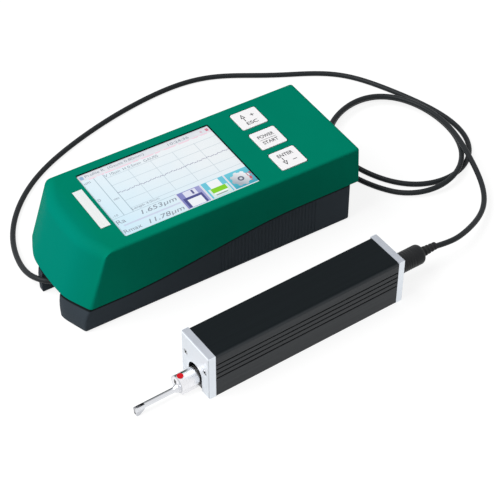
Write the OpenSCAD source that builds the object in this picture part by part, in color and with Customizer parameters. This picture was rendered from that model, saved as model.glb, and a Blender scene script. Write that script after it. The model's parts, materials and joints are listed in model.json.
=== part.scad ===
// Surface roughness tester: a display unit, a traverse drive with its pickup, and the cable between them.
// Millimetres. X runs along the display unit from nose to rear, Y to its far side, Z up from the table.

/* [Display unit] */
// Length from the nose to the rear
display_length = 165; // [160:0.5:180]
// Width across the sides
display_width = 63; // [62:0.5:72]
// Height of the top face above the table
display_height = 46.5; // [45:0.5:52]
// Wall thickness of both shells
wall = 2.2; // [2:0.1:2.5]
// Height of the parting line at the nose
seam_front = 14; // [13.8:0.1:16]
// Height of the parting line at the rear
seam_rear = 24.2; // [22:0.1:26]
// Distance from the nose to where the parting line starts to rise
seam_start = 26; // [20:1:32]
// Distance from the nose to where the parting line has risen
seam_end = 128; // [120:1:136]
// Radius of the upper nose's bow in plan
nose_radius = 64; // [60:1:84]
// Lean of the upper nose from upright, degrees
nose_lean = 19; // [15:0.5:22]
// Radius from the nose into the top
nose_round = 7; // [4:0.5:8]
// Radius of the long top edges
edge_round = 1.4; // [1:0.1:3]
// Radius of the upright rear corners
rear_round = 2.4; // [1.5:0.1:3]
// Lean of the rear face over its height
rear_draft = 1; // [0.4:0.1:1.4]

/* [Lower shell] */
// Radius of the lower nose's bow in plan
base_radius = 80; // [74:1:90]
// Forward lean of the lower nose over its height
base_lean = 1; // [0.8:0.1:1.6]
// Setback of the lower shell's rear wall
base_setback = 5; // [4:0.1:6.5]
// Width of the cable tunnel between the front legs
tunnel_width = 18; // [16:0.5:20]
// Depth of the cable tunnel from the nose
tunnel_depth = 36; // [34:0.5:38]
// Width of the web on the far side of the cable tunnel
web_width = 4.5; // [3:0.5:6]
// Setback of the lower shell's front beyond that web
bay_setback = 11; // [9:0.5:12]
// Number of grip grooves on each side
rib_count = 29; // [20:1:30]
// Spacing of the grip grooves
rib_pitch = 2; // [1.8:0.05:2.1]
// Width of a grip groove
rib_width = 1; // [0.7:0.05:1.2]
// Depth of a grip groove
rib_depth = 0.6; // [0.3:0.05:0.8]
// Diameter of a rubber foot
foot_diameter = 9; // [7:0.5:10]
// Height of a foot below the lower shell
foot_height = 1; // [0.8:0.1:1.5]

/* [Screen and keys] */
// Distance from the nose to the screen window
screen_start = 32.7; // [31:0.1:36]
// Length of the screen window
screen_length = 76; // [70:0.5:77.5]
// Width of the screen window
screen_width = 51; // [46:0.2:51.4]
// Depth of the glass below the top face
screen_recess = 1; // [0.8:0.1:2.1]
// Thickness of the glass
glass_thickness = 1.1; // [0.8:0.1:1.4]
// Thickness of the display panel
lcd_thickness = 3.4; // [2.5:0.1:4]
// Distance from the nose to the keys
key_start = 121.8; // [121:0.1:127]
// Key size along the unit
key_length = 14.9; // [12:0.1:15.5]
// Key size across the unit
key_width = 13.9; // [12:0.1:14.2]
// Spacing of the keys
key_pitch = 18.3; // [17.8:0.1:19]
// Height of a key above the top face
key_proud = 0.4; // [0.3:0.05:1]
// Radius of a key's corners
key_round = 1.5; // [0.8:0.1:2]
// Travel of a key
key_travel = 0.5; // [0.3:0.05:0.6]
// Gap around a key
key_gap = 0.35; // [0.3:0.05:0.5]
// Length of the badge plate across the unit
badge_length = 29.8; // [24:0.2:34]
// Width of the badge plate
badge_width = 5.3; // [4:0.1:5.8]

/* [Drive unit] */
// Length over the end plates
drive_length = 115; // [112:0.5:125]
// Width
drive_width = 23; // [22.6:0.1:26]
// Height
drive_height = 27; // [26.6:0.1:30]
// Thickness of an end plate
plate_thickness = 4; // [3.5:0.1:4.5]
// Wall of the extruded body
drive_wall = 2.2; // [1.8:0.1:2.4]
// Radius of the body's long top edges
drive_round = 1.8; // [1:0.1:2]
// Number of long grooves on each side of the body
groove_count = 4; // [3:1:5]
// Spacing of the long grooves
groove_pitch = 3; // [2.6:0.1:3.2]
// Width of a long groove
groove_width = 0.8; // [0.5:0.05:1]
// Depth of a long groove
groove_depth = 0.7; // [0.4:0.05:0.8]
// Travel of the pickup into the drive
traverse = 17.5; // [12:0.5:18]
// Diameter of the guide rods
rod_diameter = 3; // [2.5:0.1:3]
// Diameter of the lead screw
screw_diameter = 4; // [3.6:0.1:4.4]
// Diameter of the motor
motor_diameter = 12; // [10:0.5:12.5]
// Length of the motor
motor_length = 14; // [12:0.5:15]

/* [Pickup] */
// Diameter of the pickup's barrel
pickup_diameter = 9; // [8.6:0.1:9.4]
// Length of the barrel in front of the drive
pickup_reach = 10.5; // [9.5:0.1:11.5]
// Diameter of the probe tube
tube_diameter = 2.7; // [2.6:0.05:3]
// Length of the probe tube from the barrel
tube_length = 23; // [20:0.5:23]
// Width of the skid
skid_width = 2.2; // [2:0.05:2.4]
// Diameter of the red index dot
dot_diameter = 3.2; // [2:0.1:4]

/* [Cable] */
// Diameter of the cable
cable_diameter = 2.9; // [2.6:0.05:3]
// Diameter of the drive plug's barrel
plug_diameter = 10.6; // [9.5:0.1:11]
// Length of the drive plug's barrel
plug_length = 19; // [17:0.5:20]
// Diameter of the display plug's barrel
display_plug_diameter = 8; // [7.6:0.1:8.4]

/* [Hidden] */
$fn = 48;
far = 400;
skin = 0.6;
// Small overlap that makes the shoulder's circle cut the leaning nose cleanly
shoulder_bite = 0.004;
clear = 0.3;
slack = 0.15;
run = 0.05;

// Layout of the two units on the table; the frame's origin is the middle of both on the table
drive_setout = 67.5;
drive_inset = 34;
drive_yaw = 2.7;
span_y = display_width + drive_setout;
display_mid = span_y / 2 - display_width / 2;

// Display unit, measured from its nose and its middle plane
half = display_width / 2;
nose_lip = base_lean - clear;
nose_axis = nose_lip + nose_radius;
base_rear = display_length - base_setback;
seam_steps = 24;
tunnel_mid = -3.95;
plug_side = -2;
plug_height = 8.5;
floor_top = foot_height + wall;
ceiling = display_height - wall;
glass_top = display_height - screen_recess;
glass_bottom = glass_top - glass_thickness;
lcd_bottom = glass_bottom - lcd_thickness;
glass_lip = 2;
screen_mid = screen_start + screen_length / 2;
board_gap = 5.4;
board_thickness = 1.6;
board_top = lcd_bottom - board_gap;
board_side = 8.1;
board_lead = 8;
board_back = 6;
board_half = half - board_side;
board_start = tunnel_depth + board_lead;
board_end = base_rear - board_back;
post_radius = 3;
post_y = half - wall - post_radius + slack * 2;
post_lead = 10;
post_back = 26;
post_x = [tunnel_depth + post_lead, base_rear - post_back];
post_drop = 6;
post_top = board_top - post_drop;
post_cap = 1.5;
shank_radius = 1.5;
head_radius = 2.75;
head_height = 2.5;
screw_reach = 9;
standoff_radius = 2.5;
standoff_y = 18.5;
standoff_drop = 1;
standoff_inset = 6;
standoff_top = seam_front - standoff_drop;
standoff_x = [board_start + standoff_inset, board_end - standoff_inset];
battery_half = 15;
battery_length = 62;
battery_height = 15;
battery_lead = 22;
battery_start = tunnel_depth + battery_lead;
badge_lead = 7.3;
badge_start = screen_start - badge_lead;
badge_thickness = 0.5;
badge_sink = 0.3;
key_flange = 0.9;
flange_height = 1;
key_mid = key_start + key_length / 2;
flange_top = ceiling - clear;
stem_height = 1.2;
stem_half = 2.4;
stem_bottom = flange_top - flange_height - stem_height;
switch_top = stem_bottom - key_travel - clear;
switch_half = 3;
plunger_radius = 1.6;
plunger_height = 1.2;
rib_lead = 40.3;
rib_start = key_start - rib_lead;
rib_rise = 1.6;
rib_low = foot_height + rib_rise;
rib_margin = 1.2;
foot_sink = 0.5;
foot_x = [8 + foot_diameter, base_rear - 6 - foot_diameter / 2];
foot_y = half - 1.4 - foot_diameter / 2;
socket_flange = 5;
socket_depth = 1.5;
socket_radius = 4.1;
socket_tail = 10;
socket_hole = 2.6;
spigot_length = 6;
display_plug_length = 13;
display_boot_length = 7;
boot_root = 2.6;
boot_end = cable_diameter / 2 + 0.5;

// Drive unit, measured from its front face, its middle plane and the table
body_length = drive_length - 2 * plate_thickness;
body_half = drive_width / 2 - 0.1;
body_top = drive_height - 0.1;
body_low = 0.1;
bay_half = body_half - drive_wall;
bay_low = body_low + drive_wall;
bay_top = body_top - drive_wall;
groove_drop = 6.3;
groove_top = drive_height - groove_drop;
port_y = 8;
port_z = 15.5;
port_radius = 1.9;
pickup_z = 6.8;
slot_z = 8.4;
slot_radius = pickup_diameter / 2 + 1;
plate_bevel = 0.6;
screw_radius = 1.1;
screw_head = 2;
plate_screw_length = 9;
rod_y = 6;
rod_z = 20.9;
rod_radius = rod_diameter / 2;
rod_front = plate_thickness - 2;
lead_z = 18;
journal_radius = 1.5;
bush_radius = 2.6;
bush_flange = 3.4;
bush_flange_length = 1;
bulk_start = 70;
bulk_length = 5;
gear_length = 8;
gear_radius = motor_diameter / 2;
motor_start = bulk_start + bulk_length + gear_length;
carriage_start = 14;
carriage_length = 20;
carriage_low = 1.9;
carriage_half = 5.4;
carriage_wing = 8.6;
wing_low = 18.6;
column_half = 5;
sleeve_radius = 4;
sleeve_length = 12;
spigot_radius = 3;
keel_half = 3.2;
keel_low = 1.6;
keel_start = 1 - pickup_reach;
keel_end = 3;
trough_half = carriage_half + 0.6;
trough_low = keel_low - 0.5;
trough_end = carriage_start + carriage_length + traverse + 2;
tube_z = 4;
cone_length = 1.8;
cone_radius = 2.3;
tube_end = -pickup_reach - tube_length;
bore_radius = 0.95;
cell_half = 2.4;
cell_low = 2.8;
cell_high = 9;
cell_start = 2 - pickup_reach;
cell_end = 2.4;
pin_u = cell_start + 2.8;
pin_radius = 0.4;
pin_half = 2.1;
cheek_width = 1;
cheek_half = 1.2;
cheek_top = 6.2;
coil_start = -2.2;
coil_end = 1.6;
coil_low = 5.2;
coil_high = 8.4;
arm_radius = 0.3;
core_radius = 0.7;
core_start = -2;
core_end = 1;
leg_radius = 0.25;
leg_u = tube_end + 1.3;
leg_slot = 0.75;
leg_gap = 0.6;
tip_height = 0.6;
tip_low = 0.02;
skid_low = 0.1;
skid_length = 4.8;
skid_nose = 0.3;
slit_half = 0.4;
slit_top = 2;
eye_length = 4.2;
eye_half = 0.45;
dot_u = 2.2 - pickup_reach;
dot_sink = 0.45;
dot_proud = 0.15;
limit_half = 2;
limit_height = 5;
limit_width = 2.2;
limit_z = 5;
limit_first = 7;
limit_back = 9;
limit_u = [limit_first, bulk_start - limit_back];
board_z = 5;
drive_board_start = bulk_start + bulk_length;
drive_board_back = 12;
drive_board_end = drive_length - plate_thickness - drive_board_back;
chip_start = 6;
chip_end = 14;
chip_half = 4;
chip_height = 1.5;
rear_z = 12;
rear_radius = 4.4;
rear_tail = 9;
rear_hole = 3.6;
rear_depth = 6;
shoulder = 2.5;
boot_length = 9;
boot_radius = 2.6;
boot_rings = 4;
boot_ring = 1.1;

// Cable route on the table, from the display plug round two loops to the drive plug
rest = cable_diameter / 2 + 0.15;
low = 1.6;
route_mid = [[-76.5, 33.5, 9.5], [-83, 38, 10], [-85.5, 49, 7.5], [-82.5, 69.5, 3], [-75.5, 86.5, low],
    [-47.5, 116, low], [0, 136.5, low], [45.5, 145, low], [78.5, 142, low], [107.5, 124.5, low],
    [140, 107, low], [156, 80.5, low], [167, 54.5, low], [170, 28.5, low], [164, 12, low], [143.5, 0, low],
    [118.5, 6.5, low], [108, 23, low], [101.5, 44, low], [105, 61.5, low], [121, 74.5, low], [144.5, 78.5, 2],
    [160, 60.5, 3], [164.5, 33, 3], [155, 8, 4.5], [134.5, -5.5, 5], [114, 0.5, low], [102, 18.5, low],
    [95.5, 38, 2.4], [100.5, 58, 5.2], [120, 71.5, 5.5], [142, 75.5, 6], [157.5, 57.5, 6.5], [162.5, 30.5, 7],
    [155.5, 5, 8], [148.5, -19, 5], [137.5, -33.5, 5], [111.5, -46, 9.5]];
cable_sides = 8;
cable_steps = 2;
plug_front = tunnel_depth - socket_depth;
boot_exit = plug_front - display_plug_length - display_boot_length;
boot_start = drive_length + plug_length;
function display_point(x, y, z) = [x - display_length / 2, y + display_mid, z];
function drive_point(u, v, z) = [
    drive_inset - display_length / 2 + u * cos(drive_yaw) - (v + drive_width / 2) * sin(drive_yaw),
    -span_y / 2 + u * sin(drive_yaw) + (v + drive_width / 2) * cos(drive_yaw),
    z];
tuck = 2;
route = concat(
    [display_point(boot_exit + 2 * tuck, plug_side, plug_height),
     display_point(boot_exit + tuck, plug_side, plug_height)],
    route_mid,
    [drive_point(boot_start + boot_length - tuck, 0, rear_z),
     drive_point(boot_start + boot_length - 2 * tuck, 0, rear_z)]);

function spline(a, b, c, d, t) = (2 * b + (c - a) * t + (2 * a - 5 * b + 4 * c - d) * t * t
    + (3 * b - a - 3 * c + d) * t * t * t) / 2;
function lifted(p) = [p[0], p[1], max(p[2], rest)];
function unit(p) = p / norm(p);
spans = len(route) - 3;
centres = concat(
    [for (i = [1:spans]) for (k = [0:cable_steps - 1])
        lifted(spline(route[i - 1], route[i], route[i + 1], route[i + 2], k / cable_steps))],
    [route[len(route) - 2]]);
rings = len(centres);
function along(i) = i == 0 ? unit(centres[1] - centres[0])
    : i == rings - 1 ? unit(centres[i] - centres[i - 1])
    : unit(centres[i + 1] - centres[i - 1]);
function aside(i) = unit(cross([0, 0, 1], along(i)));
function ring_point(i, k) = centres[i] + cable_diameter / 2 *
    (cos(360 * k / cable_sides) * aside(i) + sin(360 * k / cable_sides) * cross(along(i), aside(i)));

// Height of a case screw's blind hole in its post
function screw_top(x) = min(seam_z(x) + screw_reach, post_top - post_cap);
function seam_part(x) = min(1, max(0, (x - seam_start) / (seam_end - seam_start)));
function seam_z(x) = seam_front
    + (seam_rear - seam_front) * (3 - 2 * seam_part(x)) * seam_part(x) * seam_part(x);
seam_line = concat([[-far, seam_front]],
    [for (i = [0:seam_steps]) let (x = seam_start + (seam_end - seam_start) * i / seam_steps) [x, seam_z(x)]],
    [[far, seam_rear]]);

module on_display() {
    translate([-display_length / 2, display_mid, 0])
        children();
}

module on_drive() {
    translate([drive_inset - display_length / 2, -span_y / 2, 0])
        rotate([0, 0, drive_yaw])
            translate([0, drive_width / 2, 0])
                children();
}

// Box between two corners
module box(a, b) {
    translate(a)
        cube(b - a);
}

// Rectangle with rounded corners, centred
module rounded(l, w, r) {
    square([l, w - 2 * r], center = true);
    square([l - 2 * r, w], center = true);
    for (i = [-1, 1])
        for (j = [-1, 1])
            translate([i * (l / 2 - r), j * (w / 2 - r)])
                circle(r = r);
}

// Rod along X from x0 to x1
module rod(x0, x1, y, z, r, r2 = -1) {
    translate([x0, y, z])
        rotate([0, 90, 0])
            cylinder(h = x1 - x0, r1 = r, r2 = r2 < 0 ? r : r2);
}

// Side profile drawn in X and Z, extruded across
module across(w) {
    translate([0, w / 2, 0])
        rotate([90, 0, 0])
            linear_extrude(height = w)
                children();
}

module above_seam() {
    across(far)
        polygon(concat(seam_line, [[far, far], [-far, far]]));
}

module below_seam() {
    across(far)
        polygon(concat(seam_line, [[far, -far], [-far, -far]]));
}

// Outline of the leaning nose with its rounded shoulder, for turning about the nose's axis
module nose_profile(i) {
    top = display_height - i;
    r_low = nose_radius - i / cos(nose_lean);
    f = max(nose_round - i, 1);
    z_c = top - f;
    r_c = r_low - (f + (z_c - seam_front) * sin(nose_lean)) / cos(nose_lean);
    r_foot = r_low + seam_front * tan(nose_lean);
    union() {
        polygon([[0, 0], [r_foot, 0], [r_c + f * cos(nose_lean), z_c + f * sin(nose_lean)], [r_c, z_c],
            [r_c, top], [0, top]]);
        translate([r_c, z_c - shoulder_bite])
            circle(r = f + shoulder_bite);
    }
}

// Section across the display unit with rounded top edges
module top_section(i) {
    w = half - i;
    top = display_height - i;
    r = max(edge_round - i, skin);
    translate([-w, -1])
        square([2 * w, top - r + 1]);
    translate([r - w, -1])
        square([2 * (w - r), top + 1]);
    for (s = [-1, 1])
        translate([s * (w - r), top - r])
            circle(r = r);
}

// Plan with rounded rear corners
module plan(i, rear) {
    w = half - i;
    x = rear - i;
    r = max(rear_round - i, skin);
    translate([-1, -w])
        square([x - r + 1, 2 * w]);
    translate([-1, r - w])
        square([x + 1, 2 * (w - r)]);
    for (s = [-1, 1])
        translate([x - r, s * (w - r)])
            circle(r = r);
}

// Whole upper form, inset by i
module upper_form(i) {
    intersection() {
        rotate([90, 0, 90])
            translate([0, 0, -1])
                linear_extrude(height = display_length + 2)
                    top_section(i);
        linear_extrude(height = display_height)
            plan(i, display_length);
        union() {
            translate([nose_axis, 0, 0])
                rotate_extrude($fn = 96)
                    nose_profile(i);
            across(display_width)
                polygon([[nose_axis, 0], [display_length - i, 0], [display_length - i, seam_rear],
                    [display_length - rear_draft - i, display_height - i], [nose_axis, display_height - i]]);
        }
    }
}

// Whole lower form, inset by i
module lower_form(i) {
    intersection() {
        linear_extrude(height = display_height)
            plan(i, base_rear);
        union() {
            translate([base_radius, 0, foot_height])
                cylinder(h = display_height, r1 = base_radius - i,
                    r2 = base_radius - i - base_lean * display_height / (seam_front - foot_height), $fn = 96);
            box([base_radius, -half, foot_height], [base_rear, half, display_height]);
        }
    }
}

module upper_housing() {
    color([0, 0.5, 0.4])
        on_display()
            difference() {
                intersection() {
                    union() {
                        difference() {
                            upper_form(0);
                            upper_bay();
                        }
                        upper_posts();
                    }
                    above_seam();
                }
                box([screen_start, -screen_width / 2, 0],
                    [screen_start + screen_length, screen_width / 2, far]);
                box([screen_start - glass_lip - slack, -screen_width / 2 - glass_lip - slack, ceiling - 1],
                    [screen_start + screen_length + glass_lip + slack,
                        screen_width / 2 + glass_lip + slack, glass_top]);
                for (k = [-1:1])
                    translate([key_mid, k * key_pitch, ceiling - 1])
                        linear_extrude(height = far)
                            rounded(key_length + 2 * key_gap, key_width + 2 * key_gap, key_round + key_gap);
                box([badge_start, -badge_length / 2, display_height - badge_sink],
                    [badge_start + badge_width, badge_length / 2, far]);
                for (x = post_x)
                    for (s = [-1, 1])
                        translate([x, s * post_y, 0])
                            cylinder(h = screw_top(x), r = shank_radius);
            }
}

// Inner space of the upper housing; a floor over the legs and a shelf at the rear stay
module upper_bay() {
    difference() {
        intersection() {
            upper_form(wall);
            union() {
                box([0, -half, 0], [base_rear - wall, half, far]);
                box([0, -half, seam_rear + wall], [display_length, half, far]);
            }
        }
        box([-1, -half, 0], [tunnel_depth + wall, half, seam_front + wall]);
    }
}

module upper_posts() {
    for (x = post_x)
        for (s = [-1, 1])
            translate([x, s * post_y, 0])
                cylinder(h = post_top, r = post_radius);
}

module lower_housing() {
    color([0.1, 0.11, 0.12])
        on_display()
            difference() {
                intersection() {
                    union() {
                        difference() {
                            lower_form(0);
                            lower_bay();
                        }
                        for (x = post_x)
                            for (s = [-1, 1])
                                translate([x, s * post_y, foot_height])
                                    cylinder(h = seam_rear, r = post_radius + 0.5);
                    }
                    below_seam();
                }
                box([-1, tunnel_mid - tunnel_width / 2, -1],
                    [tunnel_depth, tunnel_mid + tunnel_width / 2, far]);
                box([-1, tunnel_mid + tunnel_width / 2 + web_width, -1], [bay_setback, half + 1, far]);
                rod(tunnel_depth - 1, tunnel_depth + wall + 1, plug_side, plug_height, socket_radius);
                for (i = [0:rib_count - 1])
                    for (s = [-1, 1])
                        grip_groove(rib_start + i * rib_pitch, s);
                for (x = foot_x)
                    for (s = [-1, 1])
                        translate([x, s * foot_y, 0])
                            cylinder(h = foot_height + foot_sink, r = foot_diameter / 2);
                for (x = post_x)
                    for (s = [-1, 1])
                        translate([x, s * post_y, 0]) {
                            cylinder(h = far, r = shank_radius + slack);
                            cylinder(h = foot_height + head_height + 1, r = head_radius + slack);
                        }
            }
}

module lower_bay() {
    difference() {
        intersection() {
            lower_form(wall);
            box([0, -half, floor_top], [base_rear, half, far]);
        }
        box([-1, tunnel_mid - tunnel_width / 2 - wall, 0],
            [tunnel_depth + wall, tunnel_mid + tunnel_width / 2 + wall, far]);
        box([-1, tunnel_mid, 0], [bay_setback + wall, half, far]);
        for (x = standoff_x)
            for (s = [-1, 1])
                translate([x, s * standoff_y, 0])
                    cylinder(h = standoff_top, r = standoff_radius);
    }
}

module grip_groove(x, s) {
    top = seam_z(x) - rib_margin;
    translate([x, s * half, rib_low])
        translate([0, -rib_depth, 0])
            cube([rib_width, 2 * rib_depth, top - rib_low]);
}

module touch_panel() {
    color([0.75, 0.82, 0.86])
        on_display()
            box([screen_start - glass_lip, -screen_width / 2 - glass_lip, glass_bottom],
                [screen_start + screen_length + glass_lip, screen_width / 2 + glass_lip, glass_top]);
}

module lcd_module() {
    color([0.6, 0.62, 0.64])
        on_display()
            box([screen_start - glass_lip / 2, -screen_width / 2 - glass_lip / 2, lcd_bottom],
                [screen_start + screen_length + glass_lip / 2, screen_width / 2 + glass_lip / 2, glass_bottom]);
}

// Key cap with a flange under the top wall and a stem over its switch
module key_cap(k) {
    color([0.93, 0.94, 0.94])
        on_display()
            translate([key_mid, k * key_pitch, 0]) {
                translate([0, 0, flange_top])
                    linear_extrude(height = display_height + key_proud - flange_top)
                        rounded(key_length, key_width, key_round);
                box([-key_length / 2 - key_flange, -key_width / 2 - key_flange, flange_top - flange_height],
                    [key_length / 2 + key_flange, key_width / 2 + key_flange, flange_top]);
                box([-stem_half, -stem_half, stem_bottom], [stem_half, stem_half, flange_top]);
            }
}

module up_key() {
    key_cap(1);
}

module start_key() {
    key_cap(0);
}

module enter_key() {
    key_cap(-1);
}

module key_switches() {
    color([0.16, 0.16, 0.17])
        on_display()
            for (k = [-1:1])
                translate([key_mid, k * key_pitch, 0]) {
                    box([-switch_half, -switch_half, board_top],
                        [switch_half, switch_half, switch_top - plunger_height]);
                    translate([0, 0, switch_top - plunger_height])
                        cylinder(h = plunger_height, r = plunger_radius);
                }
}

module main_board() {
    color([0.1, 0.35, 0.18])
        on_display() {
            box([board_start, -board_half, board_top - board_thickness], [board_end, board_half, board_top]);
            for (x = standoff_x)
                for (s = [-1, 1])
                    translate([x, s * standoff_y, standoff_top])
                        cylinder(h = board_top - board_thickness - standoff_top, r = standoff_radius);
        }
}

module battery_pack() {
    color([0.25, 0.27, 0.32])
        on_display()
            box([battery_start, -battery_half, floor_top],
                [battery_start + battery_length, battery_half, floor_top + battery_height]);
}

module badge_plate() {
    color([0.8, 0.81, 0.82])
        on_display()
            box([badge_start, -badge_length / 2, display_height - badge_sink],
                [badge_start + badge_width, badge_length / 2, display_height - badge_sink + badge_thickness]);
}

module display_socket() {
    color([0.5, 0.51, 0.53])
        on_display()
            difference() {
                union() {
                    rod(plug_front, tunnel_depth, plug_side, plug_height, socket_flange);
                    rod(tunnel_depth, tunnel_depth + socket_tail, plug_side, plug_height, socket_radius);
                }
                rod(plug_front - 1, plug_front + spigot_length + clear, plug_side, plug_height, socket_hole);
            }
}

module feet() {
    color([0.07, 0.07, 0.07])
        on_display()
            for (x = foot_x)
                for (s = [-1, 1])
                    translate([x, s * foot_y, 0])
                        cylinder(h = foot_height + foot_sink, r = foot_diameter / 2);
}

module case_screws() {
    color([0.55, 0.56, 0.58])
        on_display()
            for (x = post_x)
                for (s = [-1, 1])
                    translate([x, s * post_y, foot_height + 1]) {
                        cylinder(h = head_height, r = head_radius);
                        cylinder(h = screw_top(x) - foot_height - 2, r = shank_radius - run);
                    }
}

// Section of the extruded body with rounded top edges
module body_section() {
    difference() {
        union() {
            translate([-body_half, body_low])
                square([2 * body_half, body_top - drive_round - body_low]);
            translate([drive_round - body_half, body_low])
                square([2 * (body_half - drive_round), body_top - body_low]);
            for (s = [-1, 1])
                translate([s * (body_half - drive_round), body_top - drive_round])
                    circle(r = drive_round);
        }
        difference() {
            translate([-bay_half, bay_low])
                square([2 * bay_half, bay_top - bay_low]);
            for (s = [-1, 1])
                translate([s * port_y, port_z]) {
                    circle(r = port_radius);
                    translate([s > 0 ? 0 : -port_radius - 1, -port_radius])
                        square([port_radius + 1, 2 * port_radius]);
                }
        }
        for (s = [-1, 1])
            translate([s * port_y, port_z])
                circle(r = screw_radius);
        for (i = [0:groove_count - 1])
            for (s = [-1, 1])
                translate([s * body_half - groove_depth, groove_top - i * groove_pitch - groove_width / 2])
                    square([2 * groove_depth, groove_width]);
    }
}

module drive_body() {
    color([0.12, 0.13, 0.14])
        on_drive()
            difference() {
                translate([plate_thickness, 0, 0])
                    rotate([90, 0, 90])
                        linear_extrude(height = body_length)
                            body_section();
                box([plate_thickness - 1, -trough_half, trough_low], [trough_end, trough_half, bay_low + 1]);
            }
}

// End plate with bevelled outer edges, its outer face at u = 0
module end_plate() {
    w = drive_width / 2;
    b = plate_bevel;
    intersection() {
        box([0, -w, 0], [plate_thickness, w, drive_height]);
        across(2 * w)
            polygon([[0, b], [b, 0], [plate_thickness, 0], [plate_thickness, drive_height],
                [b, drive_height], [0, drive_height - b]]);
        linear_extrude(height = drive_height)
            polygon([[0, b - w], [b, -w], [plate_thickness, -w], [plate_thickness, w], [b, w], [0, w - b]]);
    }
}

// Countersunk holes or screws of an end plate
module plate_fixing(s, extra) {
    translate([0, s * port_y, port_z])
        rotate([0, 90, 0]) {
            cylinder(h = screw_head - screw_radius, r1 = screw_head + extra, r2 = screw_radius + extra);
            cylinder(h = plate_screw_length, r = screw_radius + extra);
        }
}

module front_plate() {
    color([0.85, 0.88, 0.9])
        on_drive()
            difference() {
                end_plate();
                rod(-1, plate_thickness + 1, 0, slot_z, slot_radius);
                box([-1, -slot_radius, -1], [plate_thickness + 1, slot_radius, slot_z]);
                for (s = [-1, 1])
                    plate_fixing(s, 0);
                for (s = [-1, 1])
                    rod(rod_front, plate_thickness + 1, s * rod_y, rod_z, rod_radius);
                rod(1, plate_thickness + 1, 0, lead_z, bush_radius);
            }
}

module rear_plate() {
    color([0.85, 0.88, 0.9])
        on_drive()
            translate([drive_length, 0, 0])
                mirror([1, 0, 0])
                    difference() {
                        end_plate();
                        for (s = [-1, 1])
                            plate_fixing(s, 0);
                        rod(-1, plate_thickness + 1, 0, rear_z, rear_radius);
                    }
}

module plate_screws() {
    color([0.2, 0.21, 0.23])
        on_drive()
            for (s = [-1, 1]) {
                plate_fixing(s, 0);
                translate([drive_length, 0, 0])
                    mirror([1, 0, 0])
                        plate_fixing(s, 0);
            }
}

module front_bearing() {
    color([0.7, 0.55, 0.25])
        on_drive()
            difference() {
                union() {
                    rod(1, plate_thickness, 0, lead_z, bush_radius);
                    rod(plate_thickness, plate_thickness + bush_flange_length, 0, lead_z, bush_flange);
                }
                rod(0, plate_thickness + 2, 0, lead_z, journal_radius + run);
            }
}

module bulkhead() {
    color([0.6, 0.62, 0.64])
        on_drive()
            difference() {
                box([bulk_start, -bay_half, bay_low], [bulk_start + bulk_length, bay_half, bay_top]);
                for (s = [-1, 1])
                    box([bulk_start - 1, s > 0 ? port_y - port_radius - clear : -far, port_z - port_radius - clear],
                        [bulk_start + bulk_length + 1, s > 0 ? far : port_radius + clear - port_y,
                            port_z + port_radius + clear]);
                for (s = [-1, 1])
                    rod(bulk_start - 1, bulk_start + bulk_length - 1, s * rod_y, rod_z, rod_radius);
                rod(bulk_start - 1, bulk_start + bulk_length + 1, 0, lead_z, journal_radius + run);
            }
}

module guide_rods() {
    color([0.78, 0.79, 0.8])
        on_drive()
            for (s = [-1, 1])
                rod(rod_front, bulk_start + bulk_length - 1, s * rod_y, rod_z, rod_radius);
}

module lead_screw() {
    color([0.72, 0.73, 0.75])
        on_drive() {
            rod(1 + clear, bulk_start + bulk_length - clear, 0, lead_z, journal_radius);
            rod(plate_thickness + bush_flange_length + clear, bulk_start - clear, 0, lead_z, screw_diameter / 2);
        }
}

module gearbox() {
    color([0.66, 0.6, 0.45])
        on_drive()
            rod(bulk_start + bulk_length, motor_start, 0, lead_z, gear_radius);
}

module motor() {
    color([0.45, 0.46, 0.48])
        on_drive() {
            rod(motor_start, motor_start + motor_length, 0, lead_z, motor_diameter / 2);
            rod(motor_start + motor_length, motor_start + motor_length + 2, 0, lead_z, motor_diameter / 4);
        }
}

module carriage() {
    color([0.5, 0.52, 0.55])
        on_drive()
            difference() {
                union() {
                    box([carriage_start, -carriage_half, carriage_low],
                        [carriage_start + carriage_length, carriage_half, pickup_z + sleeve_radius + 1]);
                    box([carriage_start, -column_half, carriage_low],
                        [carriage_start + carriage_length, column_half, wing_low + 1]);
                    box([carriage_start, -carriage_wing, wing_low],
                        [carriage_start + carriage_length, carriage_wing, rod_z + rod_radius + 1.2]);
                }
                rod(carriage_start - 1, carriage_start + sleeve_length, 0, pickup_z, sleeve_radius);
                rod(carriage_start - 1, carriage_start + carriage_length + 1, 0, lead_z,
                    screw_diameter / 2 + run);
                for (s = [-1, 1])
                    rod(carriage_start - 1, carriage_start + carriage_length + 1, s * rod_y, rod_z,
                        rod_radius + run);
            }
}

module pickup_socket() {
    color([0.3, 0.31, 0.33])
        on_drive()
            difference() {
                rod(carriage_start, carriage_start + sleeve_length, 0, pickup_z, sleeve_radius);
                rod(carriage_start - 1, carriage_start + spigot_length + clear, 0, pickup_z, spigot_radius + run);
            }
}

module limit_switches() {
    color([0.14, 0.14, 0.15])
        on_drive()
            for (u = limit_u)
                box([u - limit_half, -bay_half, limit_z],
                    [u + limit_half, limit_width - bay_half, limit_z + limit_height]);
}

module drive_board() {
    color([0.1, 0.35, 0.18])
        on_drive() {
            box([drive_board_start, -bay_half, board_z], [drive_board_end, bay_half, board_z + board_thickness]);
            box([drive_board_start + chip_start, -chip_half, board_z + board_thickness],
                [drive_board_start + chip_end, chip_half, board_z + board_thickness + chip_height]);
        }
}

module rear_socket() {
    color([0.3, 0.31, 0.33])
        on_drive()
            difference() {
                rod(drive_length - plate_thickness - rear_tail, drive_length, 0, rear_z, rear_radius);
                rod(drive_length - rear_depth - clear, drive_length + 1, 0, rear_z, rear_hole);
            }
}

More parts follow.
